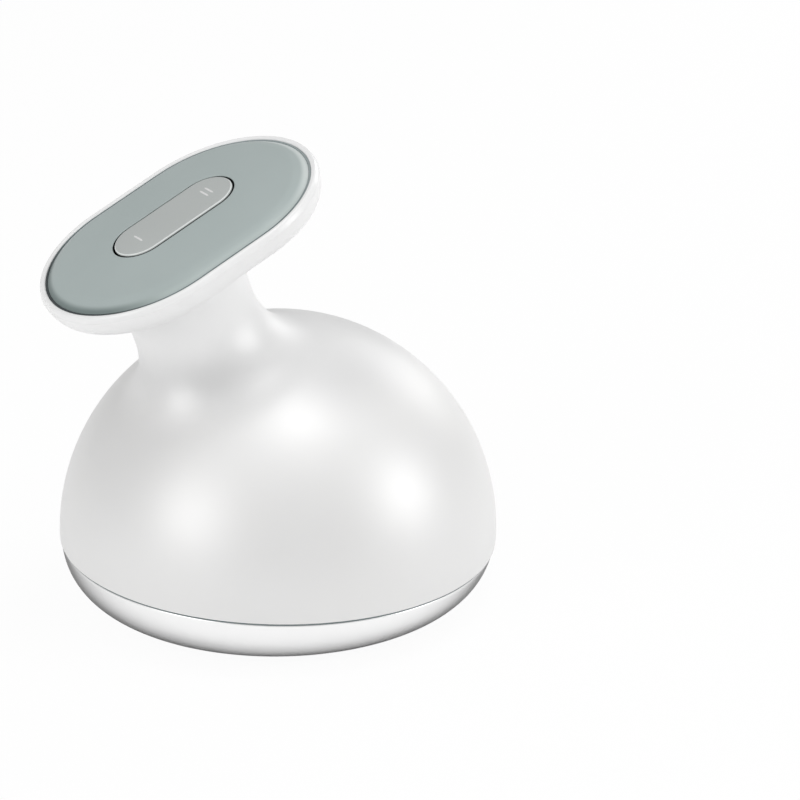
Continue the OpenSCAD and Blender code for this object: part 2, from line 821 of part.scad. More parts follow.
module battery_tray() {
    wall = 1.5;
    color(black_plastic) {
        translate([0, 0, battery_z - 1]) difference() {
            rounded_plate(50.6 + 2*wall, 34.6 + 2*wall, 3, 5);
            translate([0, 0, 1]) rounded_plate(50.6, 34.6, 2, 5);
            translate([-30, -8, 2]) cube([60, 16, 5]);
        }
        for (x = [-1, 1], y = [-1, 1])
            translate([x*24, y*15.5, board_z + board_t]) cylinder(r = 1.8, h = 5);
    }
}

module battery() color([0.35, 0.42, 0.55])
    translate([0, 0, battery_z]) rounded_plate(50, 34, 2.5, 8);

module battery_leads() color([0.65, 0.12, 0.10]) for (y = [-1.2, 1.2])
    translate([0, y, 0]) wire([
        [25.2, 0, 31], [28, 0, 31], [30.5, 0, 29], [31, 0, 25],
        [31, 0, board_z + board_t + 1.25]
    ], 0.6);

module disc_leads() color([0.65, 0.12, 0.10]) for (y = [-5, 5])
    translate([0, y, 0]) wire([
        [4, 0, 3.95], [4, 0, 6], [2, 0, 9.5], [4, 0, 13], [4, 0, board_z - 0.1]
    ], 0.5);

// ---------------------------------------------------------------- nodes

main_shell();
head_frame();
panel_seal();
top_panel();
rocker_key();
key_carrier();
pivot_pin();
key_board();
front_switch();
rear_switch();
front_plunger();
rear_plunger();
key_screws();
key_harness();
bezel_ring();
case_seal();
case_screws();
electrode_plate();
light_ring();
outer_electrode();
inner_electrode();
centre_disc();
disc_gasket();
piezo_disc();
disc_clamp();
clamp_screws();
led_board();
leds();
electrode_contacts();
main_board();
board_chips();
drive_coil();
buzzer();
board_screws();
charge_port();
battery_tray();
battery();
battery_leads();
disc_leads();
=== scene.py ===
# %% [markdown]
# # A handheld facial toning device
# The device is a white dome on a silver bezel, with ring electrodes underneath, and a
# waisted neck that carries a tilted oval head with a two-ended key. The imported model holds
# every piece at its real size. This script gives each piece its finish, and builds finer
# meshes over those whose curves show. It works in millimetres, and turns them into
# Blender's metres where a mesh is made.

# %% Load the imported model
import json
import math
import bmesh
import bpy
import numpy as np
from mathutils import Matrix, Vector


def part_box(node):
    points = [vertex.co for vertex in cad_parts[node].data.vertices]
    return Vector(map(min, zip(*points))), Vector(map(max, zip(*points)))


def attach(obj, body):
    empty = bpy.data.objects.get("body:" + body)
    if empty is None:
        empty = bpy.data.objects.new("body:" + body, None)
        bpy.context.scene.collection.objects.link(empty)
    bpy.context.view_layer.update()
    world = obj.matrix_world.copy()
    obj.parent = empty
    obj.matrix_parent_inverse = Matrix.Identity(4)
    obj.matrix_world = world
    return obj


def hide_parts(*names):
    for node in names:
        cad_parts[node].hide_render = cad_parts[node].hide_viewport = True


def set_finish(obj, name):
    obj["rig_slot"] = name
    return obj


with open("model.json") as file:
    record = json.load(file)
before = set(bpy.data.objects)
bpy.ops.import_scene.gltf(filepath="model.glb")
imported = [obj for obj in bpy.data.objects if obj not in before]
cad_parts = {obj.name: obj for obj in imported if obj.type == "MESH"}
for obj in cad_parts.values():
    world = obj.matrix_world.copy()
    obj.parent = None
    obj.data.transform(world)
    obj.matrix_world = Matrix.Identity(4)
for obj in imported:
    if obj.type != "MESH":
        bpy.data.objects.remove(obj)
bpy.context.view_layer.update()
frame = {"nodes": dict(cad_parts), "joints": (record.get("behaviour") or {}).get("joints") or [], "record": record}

# %% [markdown]
# ## Sizes
# What the frame can tell is read from it: the dome's radius and the panel's width from
# their boxes, and the head's place and tilt from the joints of the key. The rest are the
# driving sizes of the drawing, in millimetres, so that each finer mesh lies where its solid
# lies.

# %% Sizes read from the frame
MM = 0.001
X, Y, Z = np.eye(3)
joints = {joint["name"]: joint for joint in frame["joints"]}


def width(node):
    """The size of a node from side to side, in millimetres."""
    low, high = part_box(node)
    return high[1] / MM - low[1] / MM


DOME_R = width("main_shell") / 2
PANEL_W = width("top_panel")
PIVOT_BELOW = 0.5
HEAD_UP = np.array(joints["front_plunger_slide"]["axis"])
HEAD_ALONG = np.cross(Y, HEAD_UP)
HEAD = np.array(joints["rocker"]["pos_m"]) / MM + HEAD_UP * PIVOT_BELOW
print(f"dome {2 * DOME_R:.1f} mm across, head centre {HEAD.round(2)}, panel {PANEL_W:.1f} wide")

# %% Sizes of the shell
DOME_Z = 13.8
SHELL_WALL = 2.2
SEAM_SLOPE = math.tan(math.radians(1.6))
SEAM_DROP = 1.45
PANEL_LEN = 63.9
RIM_EDGE = (1.27, -1.3)
RIM_UNDER = (-3.5, -6.9)
RIM_ROLL = 4.5
NECK_LEN = 28.3
NECK_W = 22.8
NECK_SHIFT = 4.5
NECK_DEPTH = 8.7
NECK_LEAN = math.radians(19.5)
HEAD_FLARE = 9.0
FILLET_RISE = 12.0
FILLET_REACH = 11.0
TRAY_IN = -1.3
TRAY_FLOOR = -5.2
DOME_CENTRE = DOME_Z * Z
NECK_AXIS = np.array([-math.sin(NECK_LEAN), 0.0, math.cos(NECK_LEAN)])
print(f"neck {NECK_LEN} by {NECK_W} mm, wall {SHELL_WALL} mm")

# %% [markdown]
# ## From rings to a mesh
# Almost every piece here is a loft: closed rings of points, one under the other, joined by
# four-sided faces. A revolve is a loft of circles, and the oval head is a loft of round-ended
# outlines. So one function makes all the meshes. Where two rings fall on one point, as at
# the middle of a disc, the doubled points are merged. Edges sharper than a set angle stay
# crisp, and the rest is shaded smooth.

# %% One function for every loft
CRISP = math.radians(35)
MERGE = 1e-7


def finish_mesh(mesh):
    """Merges doubled points, turns the faces outward and shades all but crisp edges smooth."""
    work = bmesh.new()
    work.from_mesh(mesh)
    bmesh.ops.remove_doubles(work, verts=work.verts, dist=MERGE)
    bmesh.ops.dissolve_degenerate(work, edges=work.edges, dist=MERGE)
    bmesh.ops.recalc_face_normals(work, faces=work.faces)
    work.to_mesh(mesh)
    work.free()
    mesh.polygons.foreach_set("use_smooth", [True] * len(mesh.polygons))
    mesh.set_sharp_from_angle(angle=CRISP)


def loft(name, rings, loop=True):
    """A piece over rings of points; loop joins the last ring to the first."""
    rings = np.asarray(rings)
    count, around = rings.shape[:2]
    faces = []
    for i in range(count if loop else count - 1):
        below = (i + 1) % count
        for k in range(around):
            beside = (k + 1) % around
            faces.append((i * around + k, below * around + k,
                          below * around + beside, i * around + beside))
    mesh = bpy.data.meshes.new(name)
    mesh.from_pydata((rings.reshape(-1, 3) * MM).tolist(), [], faces)
    finish_mesh(mesh)
    piece = bpy.data.objects.new(name, mesh)
    bpy.context.scene.collection.objects.link(piece)
    return piece


def full_turn(count):
    """Even angles once round."""
    return np.arange(count) * 2 * math.pi / count


def shares(steps):
    """Even shares from 0 to 1, both ends included."""
    return np.linspace(0, 1, steps + 1)


def round_ring(angles, radius, height):
    """A ring round the Z axis; radius and height may differ by angle."""
    radius = np.broadcast_to(radius, angles.shape)
    height = np.broadcast_to(height, angles.shape)
    return np.column_stack([radius * np.cos(angles), radius * np.sin(angles), height])


def turned(name, profile, angles, loop=True):
    """A piece from a profile of (radius, height) pairs turned round the Z axis."""
    return loft(name, [round_ring(angles, radius, height) for radius, height in profile], loop)


def spin(radius, degrees):
    """Places at a radius round the Z axis."""
    return [radius * np.array([math.cos(a), math.sin(a), 0]) for a in np.radians(degrees)]


# %% [markdown]
# ## Cutting and joining
# Screw bosses, slots and bores are added with Boolean modifiers. They are applied at once
# and their tools removed, so that the piece holds plain faces and nothing else is left. A bar
# that is joined sinks a little into the piece, and one that cuts stands clear of it.

# %% Boolean tools
ROD_ANGLES = full_turn(48)
SINK = 0.5
CLEAR = 1


def shape(piece, join=(), cut=()):
    """Joins tools to a piece, then cuts tools out of it."""
    for operation, tools in (("UNION", join), ("DIFFERENCE", cut)):
        if not tools:
            continue
        for tool in tools:
            boolean = piece.modifiers.new(tool.name, "BOOLEAN")
            boolean.operation = operation
            boolean.solver = "EXACT"
            boolean.object = tool
        graph = bpy.context.evaluated_depsgraph_get()
        piece.data = bpy.data.meshes.new_from_object(piece.evaluated_get(graph))
        piece.modifiers.clear()
        for tool in tools:
            bpy.data.objects.remove(tool)
        finish_mesh(piece.data)


def prism(outline, place, along, across, length):
    """A straight bar whose outline, in two directions square to along, starts at place."""
    points = np.asarray(outline)
    up = np.cross(along, across)
    ring = place + np.outer(points[:, 0], across) + np.outer(points[:, 1], up)
    middle = np.broadcast_to(ring.mean(axis=0), ring.shape)
    return loft("tool", [middle, ring, ring + along * length, middle + along * length], loop=False)


def rod(place, along, radius, length):
    """A round bar."""
    across = np.cross(along, X if abs(along[1]) > 0.9 else Y)
    across = across / np.linalg.norm(across)
    return prism(round_ring(ROD_ANGLES, radius, 0), place, along, across, length)


def rods(places, height, radius, length):
    """Upright round bars at places, from a height up."""
    return [rod(place + Z * height, Z, radius, length) for place in places]


# %% [markdown]
# ## Places on the head
# The head's own directions are along the panel, across it and out of it. The outline of the
# panel is a stadium: a straight middle and two half circles. The moulded shell needs its
# points by angle, since the neck under it is an oval. The pieces set into the head are
# swept round the stadium's middle line instead.

# %% Head coordinates and outlines
def column(values):
    return np.asarray(values, float)[:, None]


def on_head(x, y, z):
    """Points given along, across and out of the head, as points of the frame."""
    return HEAD + column(x) * HEAD_ALONG + column(y) * Y + column(z) * HEAD_UP


def stadium_reach(angles, length, width):
    """Distance from a stadium's centre to its outline, by angle."""
    radius = width / 2
    half = (length - width) / 2
    c = np.abs(np.cos(angles))
    s = np.abs(np.sin(angles))
    inside = np.maximum(radius ** 2 - (half * s) ** 2, 0)
    with np.errstate(divide="ignore"):
        return np.where(radius * c <= half * s, radius / s, half * c + np.sqrt(inside))


def panel_ring(angles, grow, height):
    """A ring at an offset from the panel's outline."""
    reach = stadium_reach(angles, PANEL_LEN + 2 * grow, PANEL_W + 2 * grow)
    return on_head(reach * np.cos(angles), reach * np.sin(angles), np.full(len(angles), height))


# %% [markdown]
# ## The shell
# The dome, the neck and the underside of the head are one moulding with no line between
# them. It could be sculpted from a ball, but its section is known: half a ball, a fillet,
# a leaning oval neck, and a flare that rolls out to the head's rim. Three-point curves
# join those parts. Each leaves and arrives along the surface next to it, so that the light
# runs over the joins without a crease.

# %% Curves of the shell
def unit(vectors):
    return vectors / np.linalg.norm(vectors, axis=-1, keepdims=True)


def bend(start, middle, end, share):
    """A point on the curve that leaves start towards middle and reaches end from it."""
    return start * (1 - share) ** 2 + middle * 2 * share * (1 - share) + end * share ** 2


def dot(a, b):
    return (a * b).sum(axis=-1, keepdims=True)


def swing(start, end, share):
    """A direction part of the way from one direction to another."""
    turn = np.arccos(np.clip(dot(start, end), -1, 1))
    return (start * np.sin((1 - share) * turn) + end * np.sin(share * turn)) / np.sin(turn)


def onto_ball(points, radius):
    """Where lines down the neck's axis meet the ball of the dome."""
    offset = points - DOME_CENTRE
    along = dot(offset, NECK_AXIS)
    return points - NECK_AXIS * (along - np.sqrt(along ** 2 - dot(offset, offset) + radius ** 2))


# %% Rings of the outer skin
BEZEL_FOOT_R = 36.1
BEZEL_FOOT_Z = 0.8
BEZEL_POWER = 2.14
BEZEL_DROP = DOME_Z - BEZEL_FOOT_Z
LIP_ROUND = 0.2
SHELL_ANGLES = full_turn(240)


def lower_r(height):
    """Radius of the lower body below the dome's widest line."""
    fall = np.clip((DOME_Z - height) / BEZEL_DROP, 0, 1)
    turned_in = 1 - (1 - fall ** BEZEL_POWER) ** (1 / BEZEL_POWER)
    return DOME_R - (DOME_R - BEZEL_FOOT_R) * turned_in


def seam_z(x):
    return DOME_Z - SEAM_DROP - SEAM_SLOPE * x


def outer_skin(angles, rim=12, flare=16, fillet=20, dome=40, skirt=4):
    """Rings from the head's rim down the neck and over the dome to the seam."""
    level = round_ring(angles, 1, 0)
    edge = panel_ring(angles, *RIM_EDGE)
    under = panel_ring(angles, *RIM_UNDER)
    neck = on_head(NECK_LEN / 2 * np.cos(angles) - NECK_SHIFT, NECK_W / 2 * np.sin(angles),
                   level[:, 2] - NECK_DEPTH)
    foot = onto_ball(neck, DOME_R)
    up = unit(foot - DOME_CENTRE)
    spread = FILLET_REACH / (DOME_R * np.arccos(dot(up, level)))
    landing = swing(up, level, spread)
    landed = DOME_CENTRE + DOME_R * landing
    meeting = foot + NECK_AXIS * dot(landed - foot, landing) / dot(landing, NECK_AXIS)
    turn = under + unit(under - neck) * RIM_ROLL
    rings = [bend(edge, turn, under, t) for t in shares(rim)]
    rings += [bend(under, neck, neck - NECK_AXIS * HEAD_FLARE, t) for t in shares(flare)[1:]]
    rings += [bend(foot + NECK_AXIS * FILLET_RISE, meeting, landed, t) for t in shares(fillet)]
    rings += [DOME_CENTRE + DOME_R * swing(landing, level, t) for t in shares(dome)[1:]]
    seam = seam_z(DOME_R * np.cos(angles))
    for t in shares(skirt)[1:]:
        height = DOME_Z + (seam + LIP_ROUND - DOME_Z) * t
        rings.append(round_ring(angles, lower_r(height), height))
    return rings


def seam_lip(angles):
    """The rounded lower edge of the dome, which stands just proud of the bezel."""
    seam = seam_z(DOME_R * np.cos(angles))
    radius = lower_r(seam)
    quarter = np.linspace(0, math.pi / 2, 4)[1:]
    return [round_ring(angles, radius - LIP_ROUND * (1 - math.cos(a)),
                       seam + LIP_ROUND * (1 - math.sin(a))) for a in quarter]


# %% Rings of the hollow inside
BORE_LESS = 2 * SHELL_WALL + 1.4


def inner_skin(angles, steps=8):
    """Rings from the seam up inside the dome, through the neck's bore and round the tray."""
    ball = DOME_R - SHELL_WALL
    level = round_ring(angles, 1, 0)
    lean = np.cross(Y, NECK_AXIS)
    reach = column(stadium_reach(angles, NECK_LEN - BORE_LESS, NECK_W - BORE_LESS))
    bore = on_head([-NECK_SHIFT], [0], [-NECK_DEPTH]) + reach * (
        column(np.cos(angles)) * lean + column(np.sin(angles)) * Y)
    mouth = onto_ball(bore, ball)
    climb = TRAY_FLOOR - dot(bore - HEAD, HEAD_UP)
    floor = bore + NECK_AXIS * climb / (NECK_AXIS @ HEAD_UP)
    rings = [round_ring(angles, ball, seam_z(ball * np.cos(angles)))]
    rings += [DOME_CENTRE + ball * swing(level, unit(mouth - DOME_CENTRE), t) for t in shares(steps)]
    return rings + [floor, panel_ring(angles, TRAY_IN, TRAY_FLOOR),
                    panel_ring(angles, TRAY_IN, RIM_EDGE[1])]


shell = loft("dome_and_neck", outer_skin(SHELL_ANGLES) + seam_lip(SHELL_ANGLES)
             + inner_skin(SHELL_ANGLES))
print("shell skin:", len(shell.data.vertices), "points")

# %% [markdown]
# ## Bosses and the charging inlet's slot
# Four hollow bosses inside the dome take the case screws. At the back, low on the dome, a
# flat-bottomed recess with a round-ended slot gives way to the charging plug. Both are
# simple bars, joined to the skin or cut out of it.

# %% Bosses, screw holes and slot
BOSS_PLACES = spin(32.5, [45, 135, 225, 315])
BOSS_R = 3.6
BOSS_HOLE_R = 1.1
BOSS_HOLE_LEN = 13
FLANGE_TOP = 9.0
PORT_Z = 21.2
PORT = (8.9, 3.2)
PORT_CLEAR = (0.6, 0.6)
PORT_FROM = 42.6
RECESS_MORE = (4, 3.4)
RECESS_FROM = 47.4
SLOT_LEN = 10.0


def boss(place):
    """A bar from the flange up into the dome's wall, its top bent to the dome."""
    ball = DOME_R - SHELL_WALL / 2
    ring = round_ring(ROD_ANGLES, BOSS_R, 0) + place
    top = ring + Z * column(DOME_Z + np.sqrt(ball ** 2 - dot(ring, ring)[:, 0]))
    low = ring + Z * FLANGE_TOP
    middle = np.broadcast_to(place, ring.shape)
    crest = DOME_Z + math.sqrt(ball ** 2 - place @ place)
    return loft("boss", [middle + Z * FLANGE_TOP, low, top, middle + Z * crest], loop=False)


def stadium(length, width, count=24):
    """The points of a round-ended outline."""
    turn = np.linspace(-math.pi / 2, math.pi / 2, count)
    end = np.column_stack([np.cos(turn), np.sin(turn)]) * width / 2
    half = np.array([(length - width) / 2, 0])
    return np.concatenate([end + half, -end - half])


def slot(grow, start):
    """A round-ended bar, larger than the plug's socket by grow, that leaves the dome at the back."""
    outline = stadium(PORT[0] + grow[0], PORT[1] + grow[1])
    return prism(outline, np.array([start, 0, PORT_Z]), X, Y, SLOT_LEN)


shape(shell, [boss(place) for place in BOSS_PLACES],
      rods(BOSS_PLACES, FLANGE_TOP - CLEAR, BOSS_HOLE_R, BOSS_HOLE_LEN)
      + [slot(PORT_CLEAR, PORT_FROM), slot(RECESS_MORE, RECESS_FROM)])
print("slot for the plug:", PORT, "mm, cleared by", PORT_CLEAR[0])

# %% Name what each piece stands for
def mount(piece, finish_slot, *nodes, body="device"):
    """Mounts a piece on its body, in place of the nodes that it refines, if any."""
    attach(piece, body)
    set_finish(piece, finish_slot)
    if nodes:
        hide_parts(*nodes)
    print(f"{piece.name} on {body}: {len(piece.data.vertices)} points")


mount(shell, "shell_white", "main_shell")

# %% [markdown]
# ## The head's lip and panel
# A lip frame closes the tray round the touch panel. The panel is a crowned oval with a
# border that falls away softly and a round-ended opening for the key. It ends 0.85 mm
# further in than its solid, and the lip reaches in to meet it. A dark strip fills the gap
# between them and shows as one fine line: painted shade, a dark piece where the gap's shadow
# falls. All three are sections swept round the stadium's middle line, so they keep their
# width all the way round.

# %% Sweep a section round the head
END_STEPS = 56
SIDE_STEPS = 12
HEAD_STRAIGHT = PANEL_LEN - PANEL_W
PANEL_HALF = PANEL_W / 2


def sweep(name, section, straight=HEAD_STRAIGHT, loop=True):
    """A piece from a section of (distance from the middle line, height) pairs."""
    turn = np.linspace(-math.pi / 2, math.pi / 2, END_STEPS + 1)
    side = np.linspace(0.5, -0.5, SIDE_STEPS + 1)[1:-1]
    share = np.concatenate([np.full(len(turn), 0.5), side, np.full(len(turn), -0.5), -side])
    end_out = np.column_stack([np.cos(turn), np.sin(turn)])
    side_out = np.tile([0.0, 1.0], (len(side), 1))
    out = np.concatenate([end_out, side_out, -end_out, -side_out])
    return loft(name, [on_head(share * straight + out[:, 0] * d, out[:, 1] * d, np.full(len(share), z))
                       for d, z in section], loop)


def curve(start, middle, end, steps):
    """Points of a three-point curve in a section, both ends included."""
    start, middle, end = (np.array(p, float) for p in (start, middle, end))
    return [tuple(bend(start, middle, end, t)) for t in shares(steps)]


# %% The lip
LIP_IN = PANEL_HALF - 0.31
LIP_OUT = PANEL_HALF + RIM_EDGE[0] - 0.02
LIP_TOP = 0.05
LIP_FOOT = -0.49
LIP_BACK = PANEL_HALF - 0.08
ROLL_IN = 0.76
ROLL_FOOT = -0.42
ROLL_OUT = 0.22
CREST = 0.06
SHELF = -0.9
TONGUE = PANEL_HALF + TRAY_IN - 0.05
TONGUE_T = 1.05
TONGUE_FOOT = RIM_EDGE[1] - 1.3

lip_inside = curve((LIP_IN, ROLL_FOOT), (LIP_IN + 0.02, 0.04), (LIP_IN + ROLL_IN, LIP_TOP), 8)
lip_outside = curve((LIP_IN + ROLL_IN + CREST, LIP_TOP), (LIP_OUT - ROLL_OUT, LIP_TOP),
                    (LIP_OUT, RIM_EDGE[1]), 14)
lip = sweep("lip_frame", [(LIP_BACK, SHELF), (LIP_BACK, LIP_FOOT), (LIP_IN, LIP_FOOT)]
            + lip_inside + lip_outside
            + [(TONGUE, RIM_EDGE[1]), (TONGUE, TONGUE_FOOT), (TONGUE - TONGUE_T, TONGUE_FOOT),
               (TONGUE - TONGUE_T, SHELF)])
mount(lip, "frame_white", "head_frame")

# %% The panel
CROWN = 2.5
ROLL_W = 2.5
ROLL_H = 1.085
PANEL_FLAT = PANEL_HALF - ROLL_W
PANEL_WALL = 1.6
PANEL_EDGE = -0.5
PANEL_RIM = PANEL_HALF - 0.85
BORDER_FROM = PANEL_HALF - 4.15
BORDER_BULGE = (PANEL_RIM - 2, 1.14)
BORDER_END = [(PANEL_RIM - 0.08, -0.25), (PANEL_RIM - 0.02, -0.29), (PANEL_RIM, -0.35)]
OPENING_SOFT = 0.3
KEY_LEN = 29.4
KEY_W = 12.5
KEY_GAP = 0.5
POSTS = [(x, y) for x in (17.5, -17.5) for y in (8, -8)]
POST = (-1.4, 1.8, 2.6)
POST_HOLE = (-2.2, 0.7, 3)


def panel_top(d):
    """Height of the panel's crown at a distance from its middle line."""
    return CROWN - (CROWN - ROLL_H) * (d / PANEL_FLAT) ** 2


def panel_section():
    """Round the panel's section, from the foot of the key's opening."""
    hole = KEY_W / 2 + KEY_GAP
    flat_from = hole + OPENING_SOFT
    section = curve((hole, panel_top(hole) - OPENING_SOFT), (hole, panel_top(hole)),
                    (flat_from, panel_top(flat_from)), 6)
    section += [(d, panel_top(d)) for d in np.linspace(flat_from, BORDER_FROM, 14)[1:]]
    section += curve((BORDER_FROM, panel_top(BORDER_FROM)), BORDER_BULGE, BORDER_END[0], 14)[1:]
    section += BORDER_END[1:] + [(PANEL_RIM, PANEL_EDGE)]
    return section + [(d, panel_top(d) - PANEL_WALL) for d in np.linspace(PANEL_FLAT, hole, 6)]


def head_rod(x, y, z, radius, length):
    """A round bar that stands up from a place on the head."""
    return rod(on_head([x], [y], [z])[0], HEAD_UP, radius, length)


panel = sweep("touch_panel", panel_section())
shape(panel, [head_rod(x, y, *POST) for x, y in POSTS], [head_rod(x, y, *POST_HOLE) for x, y in POSTS])
mount(panel, "panel_grey", "top_panel")

# %% A dark strip in the gap, painted shade
LINE_IN = PANEL_RIM + 0.02
LINE_OUT = LIP_IN - 0.02
LINE_TOP = -0.2
LINE_ROUND = 0.08

# Painted shade: a dark strip standing where the shadow in the gap between panel and lip falls.
line = sweep("panel_shade_line", [(LINE_IN, PANEL_EDGE), (LINE_IN, LINE_TOP - LINE_ROUND),
                            (LINE_IN + LINE_ROUND, LINE_TOP), (LINE_OUT - LINE_ROUND, LINE_TOP),
                            (LINE_OUT, LINE_TOP - LINE_ROUND), (LINE_OUT, PANEL_EDGE)])
mount(line, "seal_rubber")
print(f"bead round the panel: {LINE_OUT - LINE_IN:.2f} mm wide")

# %% [markdown]
# ## The key
# The key is a thin cap that carries on the panel's crown, a hair prouder, with a soft bevel
# that catches a line of light, and a painted highlight on the bevel adds to that line. Under
# it a web turns on the pivot pin and a nub stands over each switch. Its marks are raised
# bars: one at its front end and two at its rear end.

# %% The key's cap, web and nubs
KEY_PROUD = 0.15
KEY_BEVEL = 0.5
KEY_LEVER = 10.0
KEY_FOOT = -0.2
CAP_WALL = 1.2
CAP_BELOW = 1.5
STEM_BELOW = 1.4
WEB_HALF = np.array([2, 2.9])
WEB_Z = -1.9
NUB_R = 1.5
NUB_Z = -1.2
PIN_BORE = 0.8
BORE_HALF = 4


def key_section():
    """From the middle of the key's top, round its edge, to the middle of its inside."""
    half = KEY_W / 2
    inside = panel_top(half) - CAP_BELOW
    edge = panel_top(half) + KEY_PROUD
    soft = half - KEY_BEVEL
    section = [(d, panel_top(d) + KEY_PROUD) for d in np.linspace(0, soft, 8)[:-1]]
    section += curve((soft, panel_top(soft) + KEY_PROUD), (half - 0.05, edge),
                     (half, edge - KEY_BEVEL), 6)
    return section + [(half, KEY_FOOT), (half - CAP_WALL, KEY_FOOT), (half - CAP_WALL, inside),
                      (0, inside)]


key = sweep("key_cap", key_section(), KEY_LEN - KEY_W, loop=False)
stem_top = panel_top(KEY_W / 2) - STEM_BELOW
web = prism(WEB_HALF * [(-1, -1), (1, -1), (1, 1), (-1, 1)], on_head([0], [0], [WEB_Z])[0],
            HEAD_UP, HEAD_ALONG, stem_top - WEB_Z)
nubs = [head_rod(x, 0, NUB_Z, NUB_R, stem_top - NUB_Z) for x in (-KEY_LEVER, KEY_LEVER)]
shape(key, [web] + nubs, [rod(HEAD - HEAD_UP * PIVOT_BELOW - Y * BORE_HALF, Y, PIN_BORE, 2 * BORE_HALF)])
mount(key, "key_grey", "rocker_key", body="key")

# %% The marks on the key
MARK_W = 0.45
MARK_LEN = 3.6
MARK_RISE = 0.04
MARK_SINK = 0.1
MARK_POWER = 8
MARK_TIP = 0.1
MARKS = {"mark_front": [-9.2], "mark_rear": [8.4, 9.7]}


def mark_bar(x):
    """Rings of a low bar across the key that follows its crown, closed by a point at each end."""
    y = np.linspace(-MARK_LEN / 2, MARK_LEN / 2, 9)
    round_end = np.sqrt(np.clip(1 - (np.abs(y) / (MARK_LEN / 2 + 0.02)) ** MARK_POWER, MARK_TIP, 1))
    half = MARK_W / 2 * round_end
    straight = (KEY_LEN - KEY_W) / 2
    lines = []
    for side, lift in ((-1, -MARK_SINK), (-1, MARK_RISE / 2), (-0.8, MARK_RISE),
                       (0.8, MARK_RISE), (1, MARK_RISE / 2), (1, -MARK_SINK)):
        place = x + side * half
        past = np.maximum(np.abs(place) - straight, 0)
        height = panel_top(np.hypot(past, y)) + KEY_PROUD + lift
        lines.append(on_head(place, y, height))
    rings = np.swapaxes(lines, 0, 1)
    first, last = (np.broadcast_to(ring.mean(axis=0), ring.shape) for ring in (rings[0], rings[-1]))
    return np.concatenate([[first], rings, [last]])


marks = []
for name, places in MARKS.items():
    for number, x in enumerate(places):
        mark = loft(f"{name}_{number + 1}", mark_bar(x), loop=False)
        mount(mark, "key_grey", body="key")
        marks.append(mark)


# %% [markdown]
# ## The bezel
# Below the seam the body rolls in to a foot. The seam is tilted by a degree or two, so the
# bezel's upper edge follows a leaning plane and the section differs by angle. The loft takes
# that without trouble: each ring is cut at its own height. Inside are the flange for the
# case screws, a tongue that centres the dome, and posts for the board.

# %% Rings of the bezel
BEZEL_STEP = 0.35
SEAM_GAP = 0.45
BEZEL_WALL = 2.0
FLANGE_Z = 7.0
FLANGE_IN = 28.7
TONGUE_OUT = 45.2
TONGUE_IN = 44.0
TONGUE_RISE = 2.4
BOARD_Z = 18.0
ROLL = 2 / BEZEL_POWER
ROLL_END = math.pi / 2 - 1e-6
BEZEL_ANGLES = full_turn(256)
BEZEL_EDGE = 0.22
EDGE_TURNS = (0.5, 1.05)
RIM_THICKER = 0.3
RIM_INSET = 0.1
FOOT_EDGE = 0.05


def quarter_roll(turn, radius, inner, top, low):
    """A point of the rolled section: turn is 0 at the top and a quarter turn at the foot."""
    return (radius - (radius - inner) * (1 - np.cos(turn) ** ROLL),
            top - (top - low) * np.sin(turn) ** ROLL)


def wall_turn(radius, outer, inner):
    """The turn at which the rolled section has a radius."""
    return math.acos((1 - (outer - radius) / (outer - inner)) ** (1 / ROLL))


def bezel_section(angles):
    """The section over the outside, round the foot and flange, and up the inside to the tongue."""
    outside = (DOME_R - BEZEL_STEP, BEZEL_FOOT_R, DOME_Z, BEZEL_FOOT_Z)
    inside = (DOME_R - BEZEL_WALL - RIM_THICKER, BEZEL_FOOT_R + BEZEL_WALL, DOME_Z,
              BEZEL_FOOT_Z + BEZEL_WALL)
    top = seam_z(DOME_R * np.cos(angles)) - SEAM_GAP
    start = np.arcsin(((DOME_Z - top + BEZEL_EDGE) / BEZEL_DROP) ** (1 / ROLL))
    rim = quarter_roll(start, *outside)[0]
    section = [(inside[0] - RIM_INSET, top), (rim - BEZEL_EDGE, top)]
    section += [(rim - BEZEL_EDGE * (1 - math.sin(a)), top - BEZEL_EDGE * (1 - math.cos(a)))
                for a in EDGE_TURNS]
    section += [quarter_roll(np.minimum(start + (math.pi / 2 - start) * t, ROLL_END), *outside)
                for t in shares(32)]
    section += [(BEZEL_FOOT_R, BEZEL_FOOT_Z + FOOT_EDGE), (BEZEL_FOOT_R, FLANGE_Z),
                (FLANGE_IN, FLANGE_Z), (FLANGE_IN, FLANGE_TOP), (inside[1], FLANGE_TOP)]
    section += [quarter_roll(turn, *inside)
                for turn in np.linspace(ROLL_END, wall_turn(TONGUE_IN, *inside[:2]), 12)]
    tongue_top = DOME_Z + TONGUE_RISE
    tongue_low = quarter_roll(wall_turn(TONGUE_OUT, *inside[:2]), *inside)[1]
    section += [(TONGUE_IN, tongue_top), (TONGUE_OUT, tongue_top), (TONGUE_OUT, tongue_low)]
    return section


STANDOFFS = [np.array([x, y, 0]) for x in (31.5, -31.5) for y in (11.5, -11.5)]
STANDOFF_R = 2.4
STANDOFF_FLOOR = 1.5
STANDOFF_HOLE_R = 0.9
STANDOFF_HOLE_LEN = 12
CASE_HOLE_R = 1.3
CASE_HOLE_LEN = 4

bezel = turned("bezel", bezel_section(BEZEL_ANGLES), BEZEL_ANGLES)
shape(bezel, rods(STANDOFFS, FLANGE_TOP - SINK, STANDOFF_R, BOARD_Z - FLANGE_TOP + SINK),
      rods(STANDOFFS, FLANGE_TOP + STANDOFF_FLOOR, STANDOFF_HOLE_R, STANDOFF_HOLE_LEN)
      + rods(BOSS_PLACES, FLANGE_Z - CLEAR, CASE_HOLE_R, CASE_HOLE_LEN))
mount(bezel, "bezel_silver", "bezel_ring")

# %% [markdown]
# ## The line of the seam
# A thin dark ring sits in the joint between dome and bezel: painted shade, a dark piece
# where the seam's shadow falls. From outside it shows as one fine line round the body. It is
# its own ring, so that it can have its own dull finish, and it lies on the bezel's edge, just
# under the dome's.

# %% The dark ring in the seam, painted shade
BEAD_W = 1.4
BEAD_AIR = 0.04
BEAD_ROUND = 0.08

